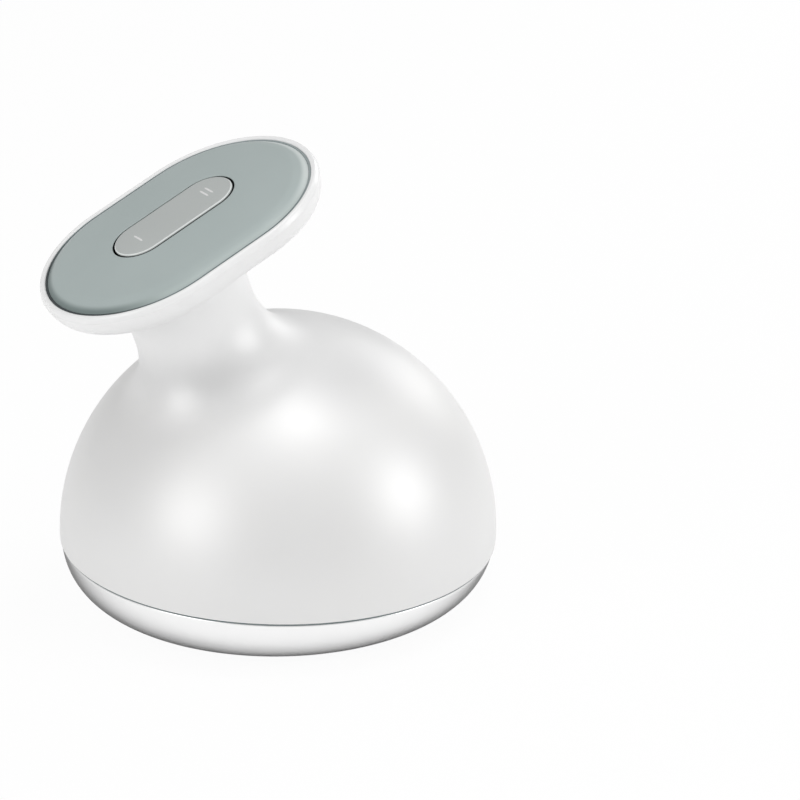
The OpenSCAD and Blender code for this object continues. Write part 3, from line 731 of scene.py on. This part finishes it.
seam = seam_z(DOME_R * np.cos(BEZEL_ANGLES))
bead_r = lower_r(seam) - BEZEL_STEP - 0.1
low, top = seam - SEAM_GAP, seam - BEAD_AIR
# Painted shade: a dark ring where the seam's shadow falls.
dark_gap_fill = turned("seam_shade_ring", [(bead_r - BEAD_W, top), (bead_r - BEAD_ROUND, top),
                            (bead_r, top - BEAD_ROUND), (bead_r, low), (bead_r - BEAD_W, low)],
              BEZEL_ANGLES)
mount(dark_gap_fill, "seal_rubber")

# %% [markdown]
# ## The electrode face
# Seen from below, the face is a set of turned parts on one axis: a dark glossy carrier with
# hollow channels, two polished electrodes, a ribbed ring that spreads the light, a rubber
# gasket and a satin disc. A lathe profile describes each one. Small rounds on their edges
# give the thin bright lines that polished metal shows.

# %% The carrier of the rings
INNER_RING = (19.5, 22.6)
OUTER_RING = (24.9, 28.1)
LIGHT_RING = (30.4, 33.8)
PLATE_Z = 0.9
PLATE_TOP = 3.9
PLATE_RIM = 1.1
PLATE_LEDGE = 0.25
WEB = 2.6
LIGHT_TOP = 2.4
SLACK = 0.12
SNUG = 0.05
FIT = 0.1
CHANNEL = 0.35
POST_R = 0.9
INNER_POST = 21.4
OUTER_POST = sum(OUTER_RING) / 2
LED_PLACES = spin(sum(LIGHT_RING) / 2, range(0, 360, 30))
LED_HOLE = (1.6, 1.45, 4)
CLAMP_POSTS = spin(23.4, [0, 120, 240])
CLAMP_POST = (PLATE_TOP - SINK, 1.5, 2)
CLAMP_HOLE = (PLATE_TOP - 2, 0.7, 5)
POST_HOLES = spin(INNER_POST, [90, 270]) + spin(OUTER_POST, [90, 270])
POST_HOLE_SIZE = (1, POST_R + 0.15, 5)


def hollow(inner, outer, height, depth, steps=8):
    """A shallow channel between two radii."""
    middle = (inner + outer) / 2
    half = (outer - inner) / 2
    radii = np.linspace(outer, inner, steps + 1)
    return [(r, height + depth * (1 - ((r - middle) / half) ** 2)) for r in radii]


plate_edge = BEZEL_FOOT_R - FIT
plate_wall = plate_edge - PLATE_RIM
plate_in = INNER_RING[0] - PLATE_LEDGE
plate = turned("ring_carrier", [(plate_in, WEB), (plate_in, PLATE_TOP), (plate_wall, PLATE_TOP),
                                (plate_wall, FLANGE_Z), (plate_edge, FLANGE_Z)]
               + hollow(LIGHT_RING[1] + SNUG, plate_edge, PLATE_Z, CHANNEL)
               + [(LIGHT_RING[1] + SNUG, LIGHT_TOP), (LIGHT_RING[0] - SNUG, LIGHT_TOP)]
               + hollow(OUTER_RING[1] + SLACK, LIGHT_RING[0] - SNUG, PLATE_Z, CHANNEL)
               + [(OUTER_RING[1] + SLACK, WEB), (OUTER_RING[0] - SLACK, WEB)]
               + hollow(INNER_RING[1] + SLACK, OUTER_RING[0] - SLACK, PLATE_Z, CHANNEL)
               + [(INNER_RING[1] + SLACK, WEB)], SHELL_ANGLES)
shape(plate, rods(CLAMP_POSTS, *CLAMP_POST),
      rods(LED_PLACES, *LED_HOLE) + rods(POST_HOLES, *POST_HOLE_SIZE)
      + rods(CLAMP_POSTS, *CLAMP_HOLE))
mount(plate, "plate_teal", "electrode_plate")

# %% [markdown]
# ## The ribbed light ring
# Its underside has 180 fine ridges that run straight out and break up the light of the
# lamps behind it. Displacing a smooth ring would need far more faces than ridges made on
# purpose, so each ridge gets eight steps of one wave and no more.

# %% Ribs by a wave
RIBS = 180
RIB_STEPS = 8
RIB_DEPTH = 0.22
LIGHT_LOW = 0.6
RIB_ANGLES = full_turn(RIBS * RIB_STEPS)

wave = 0.5 - 0.5 * np.cos(RIB_ANGLES * RIBS)
light_in = LIGHT_RING[0] + SNUG
light_out = LIGHT_RING[1] - SNUG
half = [(0, LIGHT_TOP, 0), (0, LIGHT_LOW + 0.3, 0.3), (0.08, LIGHT_LOW + 0.08, 0.8),
        (0.3, LIGHT_LOW, 1)]
section = [(light_in + d, z, depth) for d, z, depth in half]
section += [(light_out - d, z, depth) for d, z, depth in reversed(half)]
light = turned("ribbed_light_ring", [(radius, z + RIB_DEPTH * depth * wave)
                                     for radius, z, depth in section], RIB_ANGLES)
mount(light, "light_teal", "light_ring")

# %% [markdown]
# ## Electrodes, disc and gasket
# The electrodes are turned from bar: rounded edges, a flat face and a fine groove near one
# edge. The centre disc is a shallow cup with its own fine line, and the gasket round it is
# moulded rubber with soft shoulders.

# %% The turned parts
EDGE = 0.35
GROOVE_W = 0.22
GROOVE_DEPTH = 0.12
GROOVE_IN = 0.75
DISC_R = 16.8
DISC_WALL = DISC_R - 1.4
DISC_FLOOR = 1.6
DISC_TOP = 8
DISC_EDGE = 0.5
DISC_LINE = 0.9
FLANGE_R = 20.2
CLAMP_Z = 5.4
CLAMP_FOOT = CLAMP_Z - 1.2
POST_FROM = WEB - 0.2
POST_TOP = 4.2
SEAL_IN = DISC_R + SLACK
SEAL_OUT = INNER_RING[0] - 0.3
SEAL_MIDDLE = (SEAL_IN + SEAL_OUT) / 2
SEAL_Z = 0.75
SEAL_EDGE_Z = 1.2
SEAL_ROUND = 0.45
SEAL_HOLLOW = 0.2


def groove(at):
    """A fine line cut in a flat face that runs outward."""
    return [(at - GROOVE_W / 2, 0), (at - GROOVE_W / 4, GROOVE_DEPTH),
            (at + GROOVE_W / 4, GROOVE_DEPTH), (at + GROOVE_W / 2, 0)]


def electrode(name, node, inner, outer, post_at, line_at):
    """A turned ring with two contact posts behind it."""
    face = curve((inner, EDGE), (inner, 0), (inner + EDGE, 0), 5) + groove(line_at)
    face += curve((outer - EDGE, 0), (outer, 0), (outer, EDGE), 5)
    piece = turned(name, face + [(outer, WEB), (inner, WEB)], SHELL_ANGLES)
    shape(piece, rods(spin(post_at, [90, 270]), POST_FROM, POST_R, POST_TOP - POST_FROM))
    mount(piece, "electrode_chrome", node)
    return piece


outer_ring = electrode("outer_ring", "outer_electrode", *OUTER_RING, OUTER_POST,
                       OUTER_RING[1] - GROOVE_IN)
inner_ring = electrode("inner_ring", "inner_electrode", *INNER_RING, INNER_POST,
                       INNER_RING[0] + GROOVE_IN)
disc = turned("face_disc", [(0, 0)] + groove(DISC_R - DISC_LINE)
              + curve((DISC_R - DISC_EDGE, 0), (DISC_R, 0), (DISC_R, DISC_EDGE), 6)
              + [(DISC_R, CLAMP_FOOT), (FLANGE_R, CLAMP_FOOT), (FLANGE_R, CLAMP_Z), (DISC_R, CLAMP_Z),
                 (DISC_R, DISC_TOP), (DISC_WALL, DISC_TOP), (DISC_WALL, DISC_FLOOR), (0, DISC_FLOOR)],
              SHELL_ANGLES, loop=False)
mount(disc, "disc_metal", "centre_disc")
gasket = turned("face_gasket",
                curve((SEAL_IN, SEAL_EDGE_Z), (SEAL_IN, SEAL_Z), (SEAL_IN + SEAL_ROUND, SEAL_Z), 4)
                + hollow(SEAL_MIDDLE, SEAL_IN + SEAL_ROUND, SEAL_Z, SEAL_HOLLOW, 4)[1:]
                + hollow(SEAL_OUT - SEAL_ROUND, SEAL_MIDDLE, SEAL_Z, SEAL_HOLLOW, 4)[1:-1]
                + curve((SEAL_OUT - SEAL_ROUND, SEAL_Z), (SEAL_OUT, SEAL_Z), (SEAL_OUT, SEAL_EDGE_Z), 4)
                + [(SEAL_OUT, PLATE_TOP), (FLANGE_R - FIT, PLATE_TOP), (FLANGE_R - FIT, CLAMP_FOOT),
                   (SEAL_IN, CLAMP_FOOT)], SHELL_ANGLES)
mount(gasket, "seal_rubber", "disc_gasket")

# %% [markdown]
# ## Shader maths in plain expressions
# A finish is a small network of nodes. Wiring it by hand hides the sum that it works out,
# so a class wraps an output socket and turns + - * into Math nodes. Another wraps the
# network and adds any node in one call: its type, its settings and its sockets. A finish is
# such a network round the shader of a new material.

# %% Signals, networks and finishes
class Signal:
    """The output of a node. Arithmetic on it adds Math nodes."""

    def __init__(self, net, socket):
        self.net = net
        self.socket = socket

    def __getitem__(self, name):
        """Another output of the same node."""
        return Signal(self.net, self.socket.node.outputs[name])

    def __add__(self, other):
        return self.net.maths("ADD", self, other)

    def __radd__(self, other):
        return self.net.maths("ADD", other, self)

    def __sub__(self, other):
        return self.net.maths("SUBTRACT", self, other)

    def __rsub__(self, other):
        return self.net.maths("SUBTRACT", other, self)

    def __mul__(self, other):
        return self.net.maths("MULTIPLY", self, other)

    def __rmul__(self, other):
        return self.net.maths("MULTIPLY", other, self)


class Network:
    """A tree of nodes that grows by one call for each node."""

    def __init__(self, tree):
        self.tree = tree

    def feed(self, node, socket, value):
        """Links a signal to a socket, or sets a plain value on it."""
        if isinstance(value, Signal):
            self.tree.links.new(value.socket, node.inputs[socket])
        else:
            node.inputs[socket].default_value = value

    def node(self, kind, settings=None, sockets=None, output=0):
        """Adds a node: its settings first, then the values or links of its sockets."""
        made = self.tree.nodes.new("ShaderNode" + kind)
        for name, value in (settings or {}).items():
            setattr(made, name, value)
        for name, value in (sockets or {}).items():
            self.feed(made, name, value)
        return Signal(self, made.outputs[output]) if made.outputs else made

    def maths(self, operation, *values):
        return self.node("Math", {"operation": operation}, dict(enumerate(values)))

    def vector(self, operation, *values, output=0):
        return self.node("VectorMath", {"operation": operation}, dict(enumerate(values)), output)


class Finish(Network):
    """A material, and the nodes that feed its shader."""

    def __init__(self, name, **sockets):
        self.material = bpy.data.materials.new(name)
        self.material.use_nodes = True
        super().__init__(self.material.node_tree)
        self.shader = self.tree.nodes["Principled BSDF"]
        self.surface(**sockets)

    def surface(self, **sockets):
        """Feeds the shader's own sockets."""
        for socket, value in sockets.items():
            self.feed(self.shader, socket.replace("_", " "), value)
        return self


# %% [markdown]
# ## Patterns that the finishes share
# A few patterns come back in most finishes: a noise of a given grain, a mix of two colours,
# a bump and a soft step. Positions are the object's own, in metres, so a grain of a tenth of
# a millimetre has a noise scale of about ten thousand. Each pattern rides with its piece.
# Most finishes are two close tones in spots, with a finer grain in the gloss and the height,
# so one function makes them all.

# %% Noise, colour mix, bump, step and two tones
def place(finish):
    """The position on the piece, in metres."""
    return finish.node("TexCoord", output="Object")


def noise(finish, grain, detail=2.0):
    """A noise from 0 to 1 whose spots are about grain millimetres wide."""
    return finish.node("TexNoise", {}, {"Vector": place(finish), "Scale": 1 / (grain * MM),
                                        "Detail": detail})


def mix(share, first, second):
    """A colour between two colours."""
    return share.net.node("Mix", {"data_type": "RGBA"}, {0: share, 6: first, 7: second}, output=2)


def bump(height, depth):
    """A normal from a height signal, depth in millimetres."""
    return height.net.node("Bump", {}, {"Height": height, "Distance": depth * MM})


def step(value, low, high):
    """0 below low, 1 above high, smooth between."""
    return value.net.node("MapRange", {"interpolation_type": "SMOOTHSTEP"}, {
        "Value": value, "From Min": low, "From Max": high})


def grey(level, tint=(1.0, 1.0, 1.0)):
    """A linear colour from a level and a tint."""
    return (level * tint[0], level * tint[1], level * tint[2], 1.0)


def two_tone(name, first, second, spots, rough, spread, lift=0.0, grain=None, detail=2.0, **sockets):
    """Two colours in spots, and a grain that varies the gloss by spread and the height by lift.

    Spots, grain and lift are in millimetres. Without a grain, the spots do that as well.
    """
    finish = Finish(name, **sockets)
    cloud = noise(finish, spots)
    fine = noise(finish, grain, detail) if grain else cloud
    if lift:
        finish.surface(Normal=bump(fine, lift))
    return finish.surface(Base_Color=mix(cloud, first, second), Roughness=rough + fine * spread)


# %% [markdown]
# ## White mouldings
# The shell is pearl white: a gloss moulding with a fine flake that widens each highlight,
# and a little metal in the mix stands for that flake. The lip is plain gloss white. Neither
# is one flat colour: the moulding is a touch warmer and greyer in broad, faint clouds, and a
# very fine ripple keeps the gloss from looking like glass. A greyer band is painted round the
# foot of the neck, as painted shade where the head shades it, and from there up the neck
# and the head's underside the colour is painted whiter, as painted light against the head's
# shadow, with less metal there.

# %% Pearl shell and white lip
PAINTED_SHADE_BAND = (49.0, 58.0, 60.0, 68.0)
PAINTED_LIGHT_RISE = (56.0, 69.0)


def pearl_white():
    finish = Finish("pearl_white")
    cloud = noise(finish, 30.0)
    flake = noise(finish, 0.25, 1.0)
    height = finish.node("SeparateXYZ", {}, {0: place(finish)}, output="Z") * (1 / MM)
    # Painted shade: a greyer band round the foot of the neck. Painted light: whiter from there up the neck and
    # head.
    painted_neck_shade = step(height, *PAINTED_SHADE_BAND[:2]) * (1 - step(height, *PAINTED_SHADE_BAND[2:]))
    painted_neck_light = step(height, *PAINTED_LIGHT_RISE)
    pearl = mix(cloud, grey(0.77, (1, 0.995, 0.985)), grey(0.80))
    pearl = mix(painted_neck_shade, pearl, grey(0.68))
    return finish.surface(Base_Color=mix(painted_neck_light, pearl, grey(0.86)), Metallic=0.25 - painted_neck_light * 0.13,
                          Roughness=0.42 + flake * 0.06, Normal=bump(flake, 0.002))


def gloss_white():
    finish = two_tone("gloss_white", grey(0.83), grey(0.86), 12.0, 0.22, 0.05)
    return finish.surface(Normal=bump(noise(finish, 0.8, 1.0), 0.002))


# %% [markdown]
# ## The soft-touch panel and the key
# The panel's paint is a grey teal with a fine matt grain. The key is moulded from a lighter,
# browner stock and is glossier from handling. The upright walls that drop into the gaps are
# painted dark, as painted shade, and a pale band is painted where an edge rounds over, as a
# painted highlight. Both are told from the way the surface faces. Along the head, the band on
# the panel's border and the rubber line beside it are painted darker at the front end and
# paler at the rear end, as painted shade and painted reflection. The marks are filled with white.

# %% Panel, line, key and marks
# Painted shade: the upright walls that drop into the gaps round the panel and key are coloured near black.
PAINTED_GAP_SHADE = (0.020, 0.024, 0.024, 1)
GAP_SHADE_FACING = (0.10, 0.28)
FRONT_END = (-27, -14)
REAR_END = (14, 28)


def painted_light_along_head(finish, front, middle, rear):
    """A colour painted along the head, from its front end to its rear end, for painted shade and painted
    reflection.
    """
    along = finish.vector("DOT_PRODUCT", place(finish), tuple(HEAD_ALONG), output="Value")
    along = along * (1 / MM) - float(HEAD @ HEAD_ALONG)
    return mix(step(along, *REAR_END), mix(step(along, *FRONT_END), front, middle), rear)


def soft_touch(name, colour, colour_far, rough, edge_highlight_colours, edge):
    """Matt paint, with painted shade on the walls that drop into the gaps and a painted highlight where the top
    rounds over.
    """
    finish = Finish(name, IOR=1.48)
    cloud = noise(finish, 18.0)
    grain = noise(finish, 0.12)
    normal = finish.node("TexCoord", output="Normal")
    facing_up = finish.vector("DOT_PRODUCT", normal, tuple(HEAD_UP), output="Value")
    # Painted highlight: a pale band where the top rounds over at its edge.
    painted_edge_highlight = step(facing_up, *edge[:2]) * (1 - step(facing_up, *edge[2:]))
    paint = mix(painted_edge_highlight, mix(cloud, colour, colour_far), painted_light_along_head(finish, *edge_highlight_colours))
    # Painted shade on the walls that face sideways into the gaps.
    top = step(facing_up, *GAP_SHADE_FACING)
    return finish.surface(Base_Color=mix(top, PAINTED_GAP_SHADE, paint),
                          Roughness=rough + grain * 0.1, Normal=bump(grain, 0.004))


def line_shade_paint():
    finish = Finish("line_shade_paint", IOR=1.45)
    # Painted shade and painted reflection: the strip is painted near black at the front end and paler towards the
    # rear end.
    colour = painted_light_along_head(finish, (0.030, 0.040, 0.042, 1), (0.125, 0.160, 0.165, 1), (0.27, 0.31, 0.315, 1))
    return finish.surface(Base_Color=colour, Roughness=0.45 + noise(finish, 3.0) * 0.1)


# %% [markdown]
# ## Metals
# The bezel is a pearl-silver plating: bright face on, darker at a glancing angle, which the
# shader's specular tint gives to a metal. The electrodes are polished, with the faint rings
# of the lathe, and the disc is satin. Screws and pins get a plainer, duller steel.

# %% Electrodes and small steel parts
def chrome():
    finish = Finish("polished_chrome", Metallic=1.0)
    smear = noise(finish, 6.0)
    radius = finish.vector("LENGTH", finish.vector("MULTIPLY", place(finish), (1, 1, 0)), output="Value")
    rings = finish.maths("SINE", radius * (2 * math.pi / (0.25 * MM))) * 0.5 + 0.5
    return finish.surface(Base_Color=mix(smear, (0.63, 0.625, 0.635, 1), (0.74, 0.735, 0.745, 1)),
                          Roughness=0.07 + smear * 0.06, Normal=bump(rings, 0.0004))


def small_steel(name, level, rough):
    return two_tone(name, grey(level), grey(level * 1.12), 0.5, rough, 0.12, Metallic=1.0)


# %% [markdown]
# ## Tinted plastics and rubber
# The carrier of the rings is a deep, glossy dark teal under a clear coat. The light ring is
# a pale frosted plastic. Each of its ribs takes the light a little differently, so a random
# level is drawn for each rib from its angle, and each rib is painted lighter at its crest and
# darker in its valleys, as painted shading. Rubber seals are dull and dark.

# %% Light ring, rubber and plain plastic
def frosted_ribs():
    finish = Finish("frosted_ribs", IOR=1.49)
    parts = finish.node("SeparateXYZ", {}, {0: place(finish)})
    angle = finish.maths("ARCTAN2", parts["Y"], parts["X"])
    # Painted shading: lighter at each rib's crest, darker in the valleys between.
    painted_rib_shade = finish.maths("COSINE", angle * RIBS) * 0.5 + 0.5
    number = finish.maths("FLOOR", angle * (RIBS / (2 * math.pi)) + 0.5)
    level = finish.node("TexWhiteNoise", {"noise_dimensions": "1D"}, {"W": number})
    streak = noise(finish, 1.2)
    share = painted_rib_shade * 0.50 + level * 0.28 + streak * 0.30
    return finish.surface(Base_Color=mix(share, (0.25, 0.36, 0.385, 1), (0.72, 0.81, 0.82, 1)),
                          Roughness=0.18 + streak * 0.15)


def rubber(name, colour, colour_worn):
    return two_tone(name, colour, colour_worn, 3.0, 0.40, 0.15, 0.004, 0.2, IOR=1.45)


def plain_plastic(name, colour, colour_far, rough):
    return two_tone(name, colour, colour_far, 0.3, rough, 0.1, 0.01)


# %% [markdown]
# ## What is inside
# Boards, coil, cell and wires show only when the case is open, but each has its own finish:
# a board with its tracks under the mask, a coil with its turns, a cell in a shrunk sleeve.

# %% Board and coil
def circuit_board():
    finish = Finish("circuit_board")
    tracks = finish.node("TexBrick", {}, {
        "Vector": place(finish), "Scale": 160.0, "Mortar Size": 0.03, "Mortar Smooth": 0.3}, output="Fac")
    mask = noise(finish, 4.0)
    ground = mix(mask, (0.010, 0.070, 0.040, 1), (0.016, 0.095, 0.052, 1))
    return finish.surface(Base_Color=mix(tracks, ground, (0.03, 0.16, 0.09, 1)),
                          Roughness=0.30 + mask * 0.1, Normal=bump(tracks, 0.03))


def wound_copper():
    finish = Finish("wound_copper", Metallic=1.0)
    turns = finish.node("TexWave", {"bands_direction": "Z"}, {
        "Vector": place(finish), "Scale": 420.0, "Distortion": 0.4})
    return finish.surface(Base_Color=mix(turns, (0.30, 0.11, 0.04, 1), (0.62, 0.27, 0.11, 1)),
                          Roughness=0.25 + turns * 0.15, Normal=bump(turns, 0.06))


# %% [markdown]
# ## Dressing every piece
# Each record slot has one finish. The finer pieces take theirs by slot as well, except the
# line round the panel and the marks, and every node that is shown as it was packed takes the
# finish of its slot in the record.

# %% Finishes by slot
finishes = {
    "shell_white": pearl_white(),
    "frame_white": gloss_white(),
    # The panel's painted edge band: painted shade at the front end, painted highlight along the middle and rear.
    "panel_grey": soft_touch("panel_grey", (0.350, 0.404, 0.398, 1), (0.390, 0.446, 0.440, 1), 0.32,
                             [(0.165, 0.205, 0.20, 1), (0.41, 0.47, 0.46, 1), (0.62, 0.67, 0.66, 1)],
                             (0.30, 0.55, 0.82, 0.89)),
    # The key's painted edge highlight, the same pale colour all round.
    "key_grey": soft_touch("key_grey", (0.415, 0.436, 0.428, 1), (0.450, 0.475, 0.466, 1), 0.24,
                           [(0.74, 0.77, 0.76, 1)] * 3, (0.30, 0.60, 0.86, 0.96)),
    "bezel_silver": two_tone("bezel_silver", grey(0.95), grey(0.98), 25.0, 0.26, 0.08, 0.0015, 0.2, 1.0,
                             Metallic=1.0, Specular_Tint=grey(0.12)),
    "plate_teal": two_tone("deep_teal", (0.085, 0.150, 0.165, 1), (0.190, 0.270, 0.285, 1), 5.0, 0.20,
                           0.12, Coat_Weight=1.0, Coat_Roughness=0.05),
    "light_teal": frosted_ribs(),
    "electrode_chrome": chrome(),
    "disc_metal": two_tone("satin_disc", grey(0.76), grey(0.80), 14.0, 0.36, 0.08, 0.002, 0.15,
                           Metallic=0.85),
    "seal_rubber": rubber("seal_rubber", (0.130, 0.165, 0.170, 1), (0.185, 0.225, 0.230, 1)),
    "bracket_black": plain_plastic("bracket_black", (0.012, 0.012, 0.014, 1), (0.02, 0.02, 0.022, 1), 0.4),
    "pin_steel": small_steel("pin_steel", 0.55, 0.18),
    "board_green": circuit_board(),
    "screw_steel": small_steel("screw_steel", 0.45, 0.25),
    "ceramic": two_tone("plated_ceramic", (0.50, 0.42, 0.22, 1), (0.62, 0.54, 0.30, 1), 1.0, 0.35, 0.15,
                        Metallic=0.6),
    "coil_copper": wound_copper(),
    "cell_blue": plain_plastic("cell_blue", (0.07, 0.12, 0.26, 1), (0.09, 0.15, 0.30, 1), 0.25),
    "wire_red": rubber("wire_red", (0.34, 0.02, 0.015, 1), (0.42, 0.03, 0.02, 1)),
    "led_lens": plain_plastic("led_lens", (0.80, 0.76, 0.55, 1), (0.86, 0.82, 0.62, 1), 0.12),
}
print(len(finishes), "finishes")

# %% Put them on
def dress(finish, *pieces):
    """Gives each piece its one material."""
    for piece in pieces:
        piece.data.materials.clear()
        piece.data.materials.append(finish.material)


for piece in (shell, lip, panel, key, bezel, dark_gap_fill, plate, light, outer_ring, inner_ring, disc, gasket):
    dress(finishes[piece["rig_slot"]], piece)
dress(line_shade_paint(), line)
dress(two_tone("mark_white", grey(0.62), grey(0.74), 0.2, 0.45, 0.1), *marks)
for part in frame["record"]["subparts"]:
    for slot_of_node in frame["nodes"][part["node"]].material_slots:
        slot_of_node.material = finishes[part["material_slot"]].material

# %% [markdown]
# ## Camera
# The camera stands at the device's left, turned thirty degrees towards its front, and looks
# down by twenty-one degrees, with a long lens that keeps the proportions true. It aims off
# the device, so that the device stands left of the middle. The turn is worked out from where
# the device's middle falls in the frame.

# %% The camera
VIEW_EL = math.radians(21.115)
VIEW_AZ = math.radians(-30.211)
VIEW_ROLL = math.radians(-0.485)
VIEW_DISTANCE = 727.03
VIEW_TARGET = np.array([0.0, 0.0, 58.8])
FRAME_PX = 800
FOCAL_PX = 3302.2
TARGET_PX = (277.427, 338.472)
SENSOR_W = 36.0


def turn_by(first, second, angle):
    """Two square directions turned in their own plane."""
    return (first * math.cos(angle) + second * math.sin(angle),
            second * math.cos(angle) - first * math.sin(angle))


back = np.array([math.sin(VIEW_AZ) * math.cos(VIEW_EL), -math.cos(VIEW_AZ) * math.cos(VIEW_EL),
                 math.sin(VIEW_EL)])
right = np.array([math.cos(VIEW_AZ), math.sin(VIEW_AZ), 0.0])
up = np.cross(back, right)
yaw = math.atan((TARGET_PX[0] - FRAME_PX / 2) / FOCAL_PX)
pitch = math.atan((TARGET_PX[1] - FRAME_PX / 2) / FOCAL_PX * math.cos(yaw))
ahead, right = turn_by(-back, right, -yaw)
ahead, up = turn_by(ahead, up, pitch)
right, up = turn_by(right, up, VIEW_ROLL)

lens = bpy.data.cameras.new("camera")
lens.sensor_width = SENSOR_W
lens.lens = FOCAL_PX * SENSOR_W / FRAME_PX
lens.clip_start = 0.05
lens.clip_end = 20.0
scene = bpy.context.scene
camera = bpy.data.objects.new("camera", lens)
scene.collection.objects.link(camera)
turn = Matrix(np.column_stack([right, up, -ahead]).tolist()).to_4x4()
camera.matrix_world = Matrix.Translation(Vector((VIEW_TARGET + VIEW_DISTANCE * back) * MM)) @ turn
scene.camera = camera
print(f"lens {lens.lens:.1f} mm, {VIEW_DISTANCE:.0f} mm away")

# %% [markdown]
# ## Studio light
# Soft boxes make the broad highlights of the pearl dome. As the camera sees it, one hangs
# almost overhead and one stands low at the right, and two larger ones light the edges, at
# the left and behind at the right. The world fills in from all round. Reflections and the
# camera see a plain white world.

# %% Soft boxes
LIT_AT = (0.0, 0.0, 45.0)
BOXES = {
    "top_box": ((0.070, -0.182, 0.981), 0.81, 0.28, 1.25),
    "front_box": ((0.667, -0.666, 0.334), 0.83, 0.34, 1.6),
    "left_box": ((-0.917, -0.180, 0.357), 0.83, 0.42, 1.65),
    "right_box": ((0.850, 0.380, 0.370), 0.85, 0.42, 1.1),
}


def soft_box(name, towards, distance, size, watts):
    """A square lamp at a distance from the device, which faces it."""
    lamp = bpy.data.lights.new(name, "AREA")
    lamp.shape = "SQUARE"
    lamp.size = size
    lamp.energy = watts
    holder = bpy.data.objects.new(name, lamp)
    scene.collection.objects.link(holder)
    direction = Vector(towards).normalized()
    holder.location = Vector(LIT_AT) * MM + direction * distance
    holder.rotation_mode = "QUATERNION"
    holder.rotation_quaternion = direction.to_track_quat("Z", "Y")
    holder.visible_camera = False


for name, settings in BOXES.items():
    soft_box(name, *settings)
print(len(BOXES), "soft boxes")

# %% [markdown]
# ## Grey cards
# A metal shows what stands round it. In an all-white room it would look like white plastic,
# so a ring of grey card stands far round the device. Only reflections see it: it gives the
# bezel its dark outer edge and leaves the fill light alone.

# %% The ring of card
CARD_R = 1500.0
CARD_LOW = -700.0
CARD_TOP = 1500.0
CARD_GREY = 0.43

cards = turned("cards", [(CARD_R, CARD_LOW), (CARD_R, CARD_TOP)], SHELL_ANGLES, loop=False)
for sort_of_ray in ("camera", "diffuse", "transmission", "volume_scatter", "shadow"):
    setattr(cards, "visible_" + sort_of_ray, False)
card = Finish("grey_card", Roughness=0.9, Emission_Strength=1.0)
paper = noise(card, 400.0)
card.surface(Base_Color=mix(paper, grey(0.02), grey(0.03)),
             Emission_Color=mix(paper, grey(CARD_GREY * 0.95), grey(CARD_GREY)))
dress(card, cards)
print("cards", CARD_R, "mm away")

# %% World
AMBIENT = 0.61
WHITE = (1, 1, 1, 1)

world = bpy.data.worlds.new("studio")
scene.world = world
world.use_nodes = True
sky = Network(world.node_tree)
sky.tree.nodes.clear()
ray = sky.node("LightPath")
reflection = sky.maths("MAXIMUM", ray["Is Camera Ray"], ray["Is Glossy Ray"])
seen = sky.maths("MAXIMUM", reflection, ray["Is Transmission Ray"])
fill = sky.node("Background", {}, {"Color": WHITE, "Strength": AMBIENT})
plain = sky.node("Background", {}, {"Color": WHITE})
sky.node("OutputWorld", {}, {0: sky.node("MixShader", {}, {0: seen, 1: fill, 2: plain})})
print("world fill", AMBIENT)

# %% [markdown]
# ## Floor
# The floor is a pale sheet. To the camera it is mostly a plain white glow, through which a
# faint shadow of the device still shows. Reflections see that white too, but not close to
# the device, where the bezel mirrors its own shadow. The sheet has a round hole under the
# electrode face and is clear from below, also to what a ray meets after it came through, so
# that the face, which rests on it, can be looked at from underneath.

# %% The floor
FLOOR_RINGS = (35.0, 80.0, 300.0, 4000.0)
FLOOR_BELOW = 0.05
GLOW_SEEN = 0.94
GLOW_REFLECTED = 0.65
GLOW_FROM = 42.0
GLOW_FULL = 60.0

floor = turned("floor", [(radius, -FLOOR_BELOW) for radius in FLOOR_RINGS], SHELL_ANGLES, loop=False)
if floor.data.polygons[0].normal.z < 0:
    floor.data.flip_normals()
sheet = Finish("floor_sheet", Roughness=0.9)
sheet.surface(Base_Color=mix(noise(sheet, 300.0), grey(0.90), grey(0.92)))
ray = sheet.node("LightPath")
reflected = sheet.maths("MAXIMUM", ray["Is Glossy Ray"], ray["Is Transmission Ray"])
away = sheet.vector("LENGTH", place(sheet), output="Value")
glow = step(away, GLOW_FROM * MM, GLOW_FULL * MM) * GLOW_REFLECTED
lit = sheet.node("MixShader", {}, {0: ray["Is Camera Ray"] * GLOW_SEEN + reflected * glow,
                                   1: Signal(sheet, sheet.shader.outputs[0]),
                                   2: sheet.node("Emission")})
back_face = sheet.node("NewGeometry", output="Backfacing")
underneath = sheet.maths("MAXIMUM", back_face, ray["Transparent Depth"])
sheet.feed(sheet.tree.nodes["Material Output"], "Surface",
           sheet.node("MixShader", {}, {0: underneath, 1: lit, 2: sheet.node("BsdfTransparent")}))
dress(sheet, floor)
print("floor glow:", GLOW_SEEN)

# %% The view transform
scene.view_settings.view_transform = "Standard"
